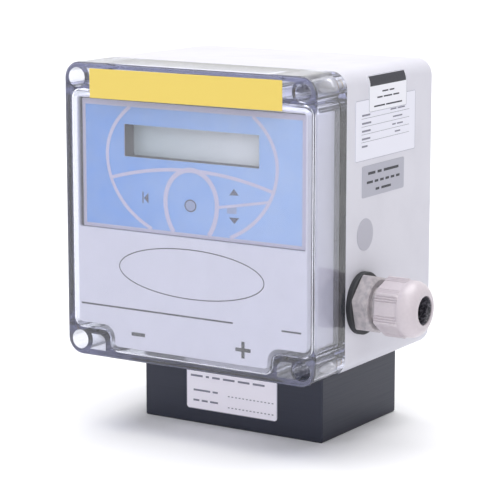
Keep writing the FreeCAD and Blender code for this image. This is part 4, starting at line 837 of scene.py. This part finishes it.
# ------------------------------------------------------------------ labels and tape
# Polyester labels, stuck on the right side and the block, and a strip of laminated yellow tape
# on the lid. They carry no words, only the header bar, rules and dashes of a printed form.
EDGE_INSET = 0.12
EDGE_WIDTH = 0.2
EDGE_ROUND = 0.7
EDGE_STEP = 1.0            # between points, so that an edge follows the label's curve
EDGE_DARK_LINE = "#A3A3B2"
FORM_BLACK = "#20212C"
FORM_FAINT = "#7A7A8A"
LOOK_FROM = 0.2            # metres, outside the whole object
WORD_STROKE = 0.6
WORD_GAP = 1.0

# The films are half matt. The tape and the round label have the smoothest laminate.
for label_name, colour, roughness in (
    ("supplier_label", "#EAEAF2", 0.4),
    ("rating_label", "#E4E4F0", 0.4),
    ("service_label", "#ABABB8", 0.45),
    ("inspection_label", "#ADACB9", 0.35),
    ("calibration_label", "#F8F4FE", 0.4),
    ("name_tape", "#E1C75E", 0.35),
):
    dress([label_name], ink(label_name + " film", colour, roughness))


def on_skin(name, axis):
    """Finds a label's outer face along an axis, so that print follows its curve."""
    mesh = nodes[name].data
    faces = BVHTree.FromPolygons([v.co for v in mesh.vertices], [p.vertices for p in mesh.polygons])
    sign = 1 if axis == 0 else -1

    def place_on(u, v, height):
        spot = [u * MM, u * MM, v * MM]
        spot[axis] = sign * LOOK_FROM
        away = [0, 0, 0]
        away[axis] = -sign
        hit = faces.ray_cast(Vector(spot), Vector(away))[0]
        spot[axis] = hit[axis] if hit else 0.0
        spot[axis] += sign * height * MM
        return [c / MM for c in spot]

    return place_on


def rounded_outline(u0, u1, v0, v1, radius, steps):
    """A rectangle's outline with rounded corners."""
    outline = []
    for cu, cv, start in (
        (u1 - radius, v1 - radius, 0), (u0 + radius, v1 - radius, 90),
        (u0 + radius, v0 + radius, 180), (u1 - radius, v0 + radius, 270),
    ):
        for step in range(steps + 1):
            turn = math.radians(start + 90 * step / steps)
            outline.append((cu + radius * math.cos(turn), cv + radius * math.sin(turn)))
    return outline


def finely(points, step):
    """The same path with a point at least every step."""
    path = [points[0]]
    for a, b in zip(points, points[1:]):
        count = max(1, math.ceil(math.dist(a, b) / step))
        for k in range(1, count + 1):
            path.append((a[0] + (b[0] - a[0]) * k / count, a[1] + (b[1] - a[1]) * k / count))
    return path


def edge_line(name, axis):
    """A thin darker line along a label's edge."""
    low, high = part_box(name)
    across = 1 if axis == 0 else 0
    outline = rounded_outline(
        low[across] / MM + EDGE_INSET, high[across] / MM - EDGE_INSET,
        low[2] / MM + EDGE_INSET, high[2] / MM - EDGE_INSET, EDGE_ROUND, 3,
    )
    return stroke(finely(outline + outline[:1], EDGE_STEP)[:-1], EDGE_WIDTH, closed=True)


def dashes(middle, v, widths, gap=WORD_GAP, thickness=WORD_STROKE):
    """A row of dashes about a middle, in place of words."""
    u = middle - (sum(widths) + gap * (len(widths) - 1)) / 2
    row = []
    for width in widths:
        row.append(stroke([(u, v), (u + width, v)], thickness))
        u += width + gap
    return row


def bar(u0, u1, v0, v1, rows):
    """A filled bar in rows, so that it follows a label over the housing's rounded edge."""
    corners, faces = [], []
    for row in range(rows + 1):
        v = v0 + (v1 - v0) * row / rows
        corners += [(u0, v), (u1, v)]
        if row:
            a = 2 * row - 2
            faces.append((a, a + 1, a + 3, a + 2))
    return corners, faces


# Form ink is flat and black or grey. A thin darker line runs along the labels' edges.
form_ink = ink("black form ink", FORM_BLACK, 0.5)
faint_ink = ink("grey form ink", FORM_FAINT, 0.45)
edge_ink = ink("dark line at a label's edge", EDGE_DARK_LINE, 0.5)
for label_name, axis in (("supplier_label", 0), ("rating_label", 0), ("calibration_label", 1)):
    print_on(
        label_name + "_edge", [edge_line(label_name, axis)], on_skin(label_name, axis),
        0.0, edge_ink, "housing",
    )

# The supplier's label: a header bar and three rows in the middle.
SUPPLIER_MIDDLE = -7.4
SUPPLIER_BAR = (-22.4, 7.6, 146.6, 150.6)
print_on(
    "supplier_print",
    [bar(*SUPPLIER_BAR, 8)]
    + dashes(SUPPLIER_MIDDLE, 144.0, [5.0, 4.0])
    + dashes(SUPPLIER_MIDDLE, 141.8, [4.4, 7.0, 5.0])
    + dashes(SUPPLIER_MIDDLE, 138.4, [9.0, 13.5]),
    on_skin("supplier_label", 0), 0.0, form_ink, "housing",
)

# The rating label: ruled rows, with an entry's name on the left and its value on the right.
RATING_LEFT = -28.6
RATING_VALUES = 1.0
RATING_NAME_STROKE = 0.75
RATING_RULE = ((-29.0, -1.3), (11.0, -1.1))    # against the row above it
RATING_RULE_STROKE = 0.16
RATING_ROWS = (            # height, width of the name, widths of the value
    (135.6, 6.6, [5.0, 6.2]), (132.4, 7.4, [8.0]), (129.3, 7.0, [3.0, 5.0]), (126.2, 6.8, [4.5]),
    (123.2, 4.6, []),
)
rating_rows = []
for v, name_width, value_widths in RATING_ROWS:
    rating_rows += dashes(
        RATING_LEFT + name_width / 2, v, [name_width], thickness=RATING_NAME_STROKE
    )
    if value_widths:
        rating_rows += dashes(RATING_VALUES, v + 0.3, value_widths)
for v, name_width, value_widths in RATING_ROWS[:-1]:
    rating_rows.append(stroke([(u, v + drop) for u, drop in RATING_RULE], RATING_RULE_STROKE))
print_on(
    "rating_print", rating_rows, on_skin("rating_label", 0), 0.0, faint_ink, "housing",
)

# The service label: three rows of bolder print.
SERVICE_MIDDLE = -10.5
print_on(
    "service_print",
    dashes(SERVICE_MIDDLE, 111.9, [6.0, 3.4, 12.5], 1.8, 1.1)
    + dashes(SERVICE_MIDDLE, 108.3, [5.0] + [3.0] * 5, 1.5, 1.0)
    + dashes(SERVICE_MIDDLE, 105.0, [3.0, 8.0], 1.8, 1.0),
    on_skin("service_label", 0), 0.0, form_ink, "housing",
)

# The block's label: a heading, two entries on the left, and dotted lines to write on.
HEADING_FROM_LEFT = 20.5
ENTRY_FROM_LEFT = 9.6
DOTS_FROM_RIGHT = 13.0
DOTS = [0.9] * 13
label_low, label_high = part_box("calibration_label")
label_left, label_right = label_low[0] / MM, label_high[0] / MM
print_on(
    "calibration_print",
    dashes(label_left + HEADING_FROM_LEFT, 20.6, [6.0, 1.6, 3.8, 5.8, 5.8, 5.8], 1.6, 0.85)
    + dashes(label_left + ENTRY_FROM_LEFT, 14.4, [8.4, 2.6], 1.2, 0.8)
    + dashes(label_left + ENTRY_FROM_LEFT, 10.0, [3.0, 3.0, 4.0], 1.2, 0.8)
    + dashes(label_right - DOTS_FROM_RIGHT, 13.6, DOTS, 0.9, 0.4)
    + dashes(label_right - DOTS_FROM_RIGHT, 8.8, DOTS, 0.9, 0.4),
    on_skin("calibration_label", 1), 0.0, faint_ink, "housing",
)
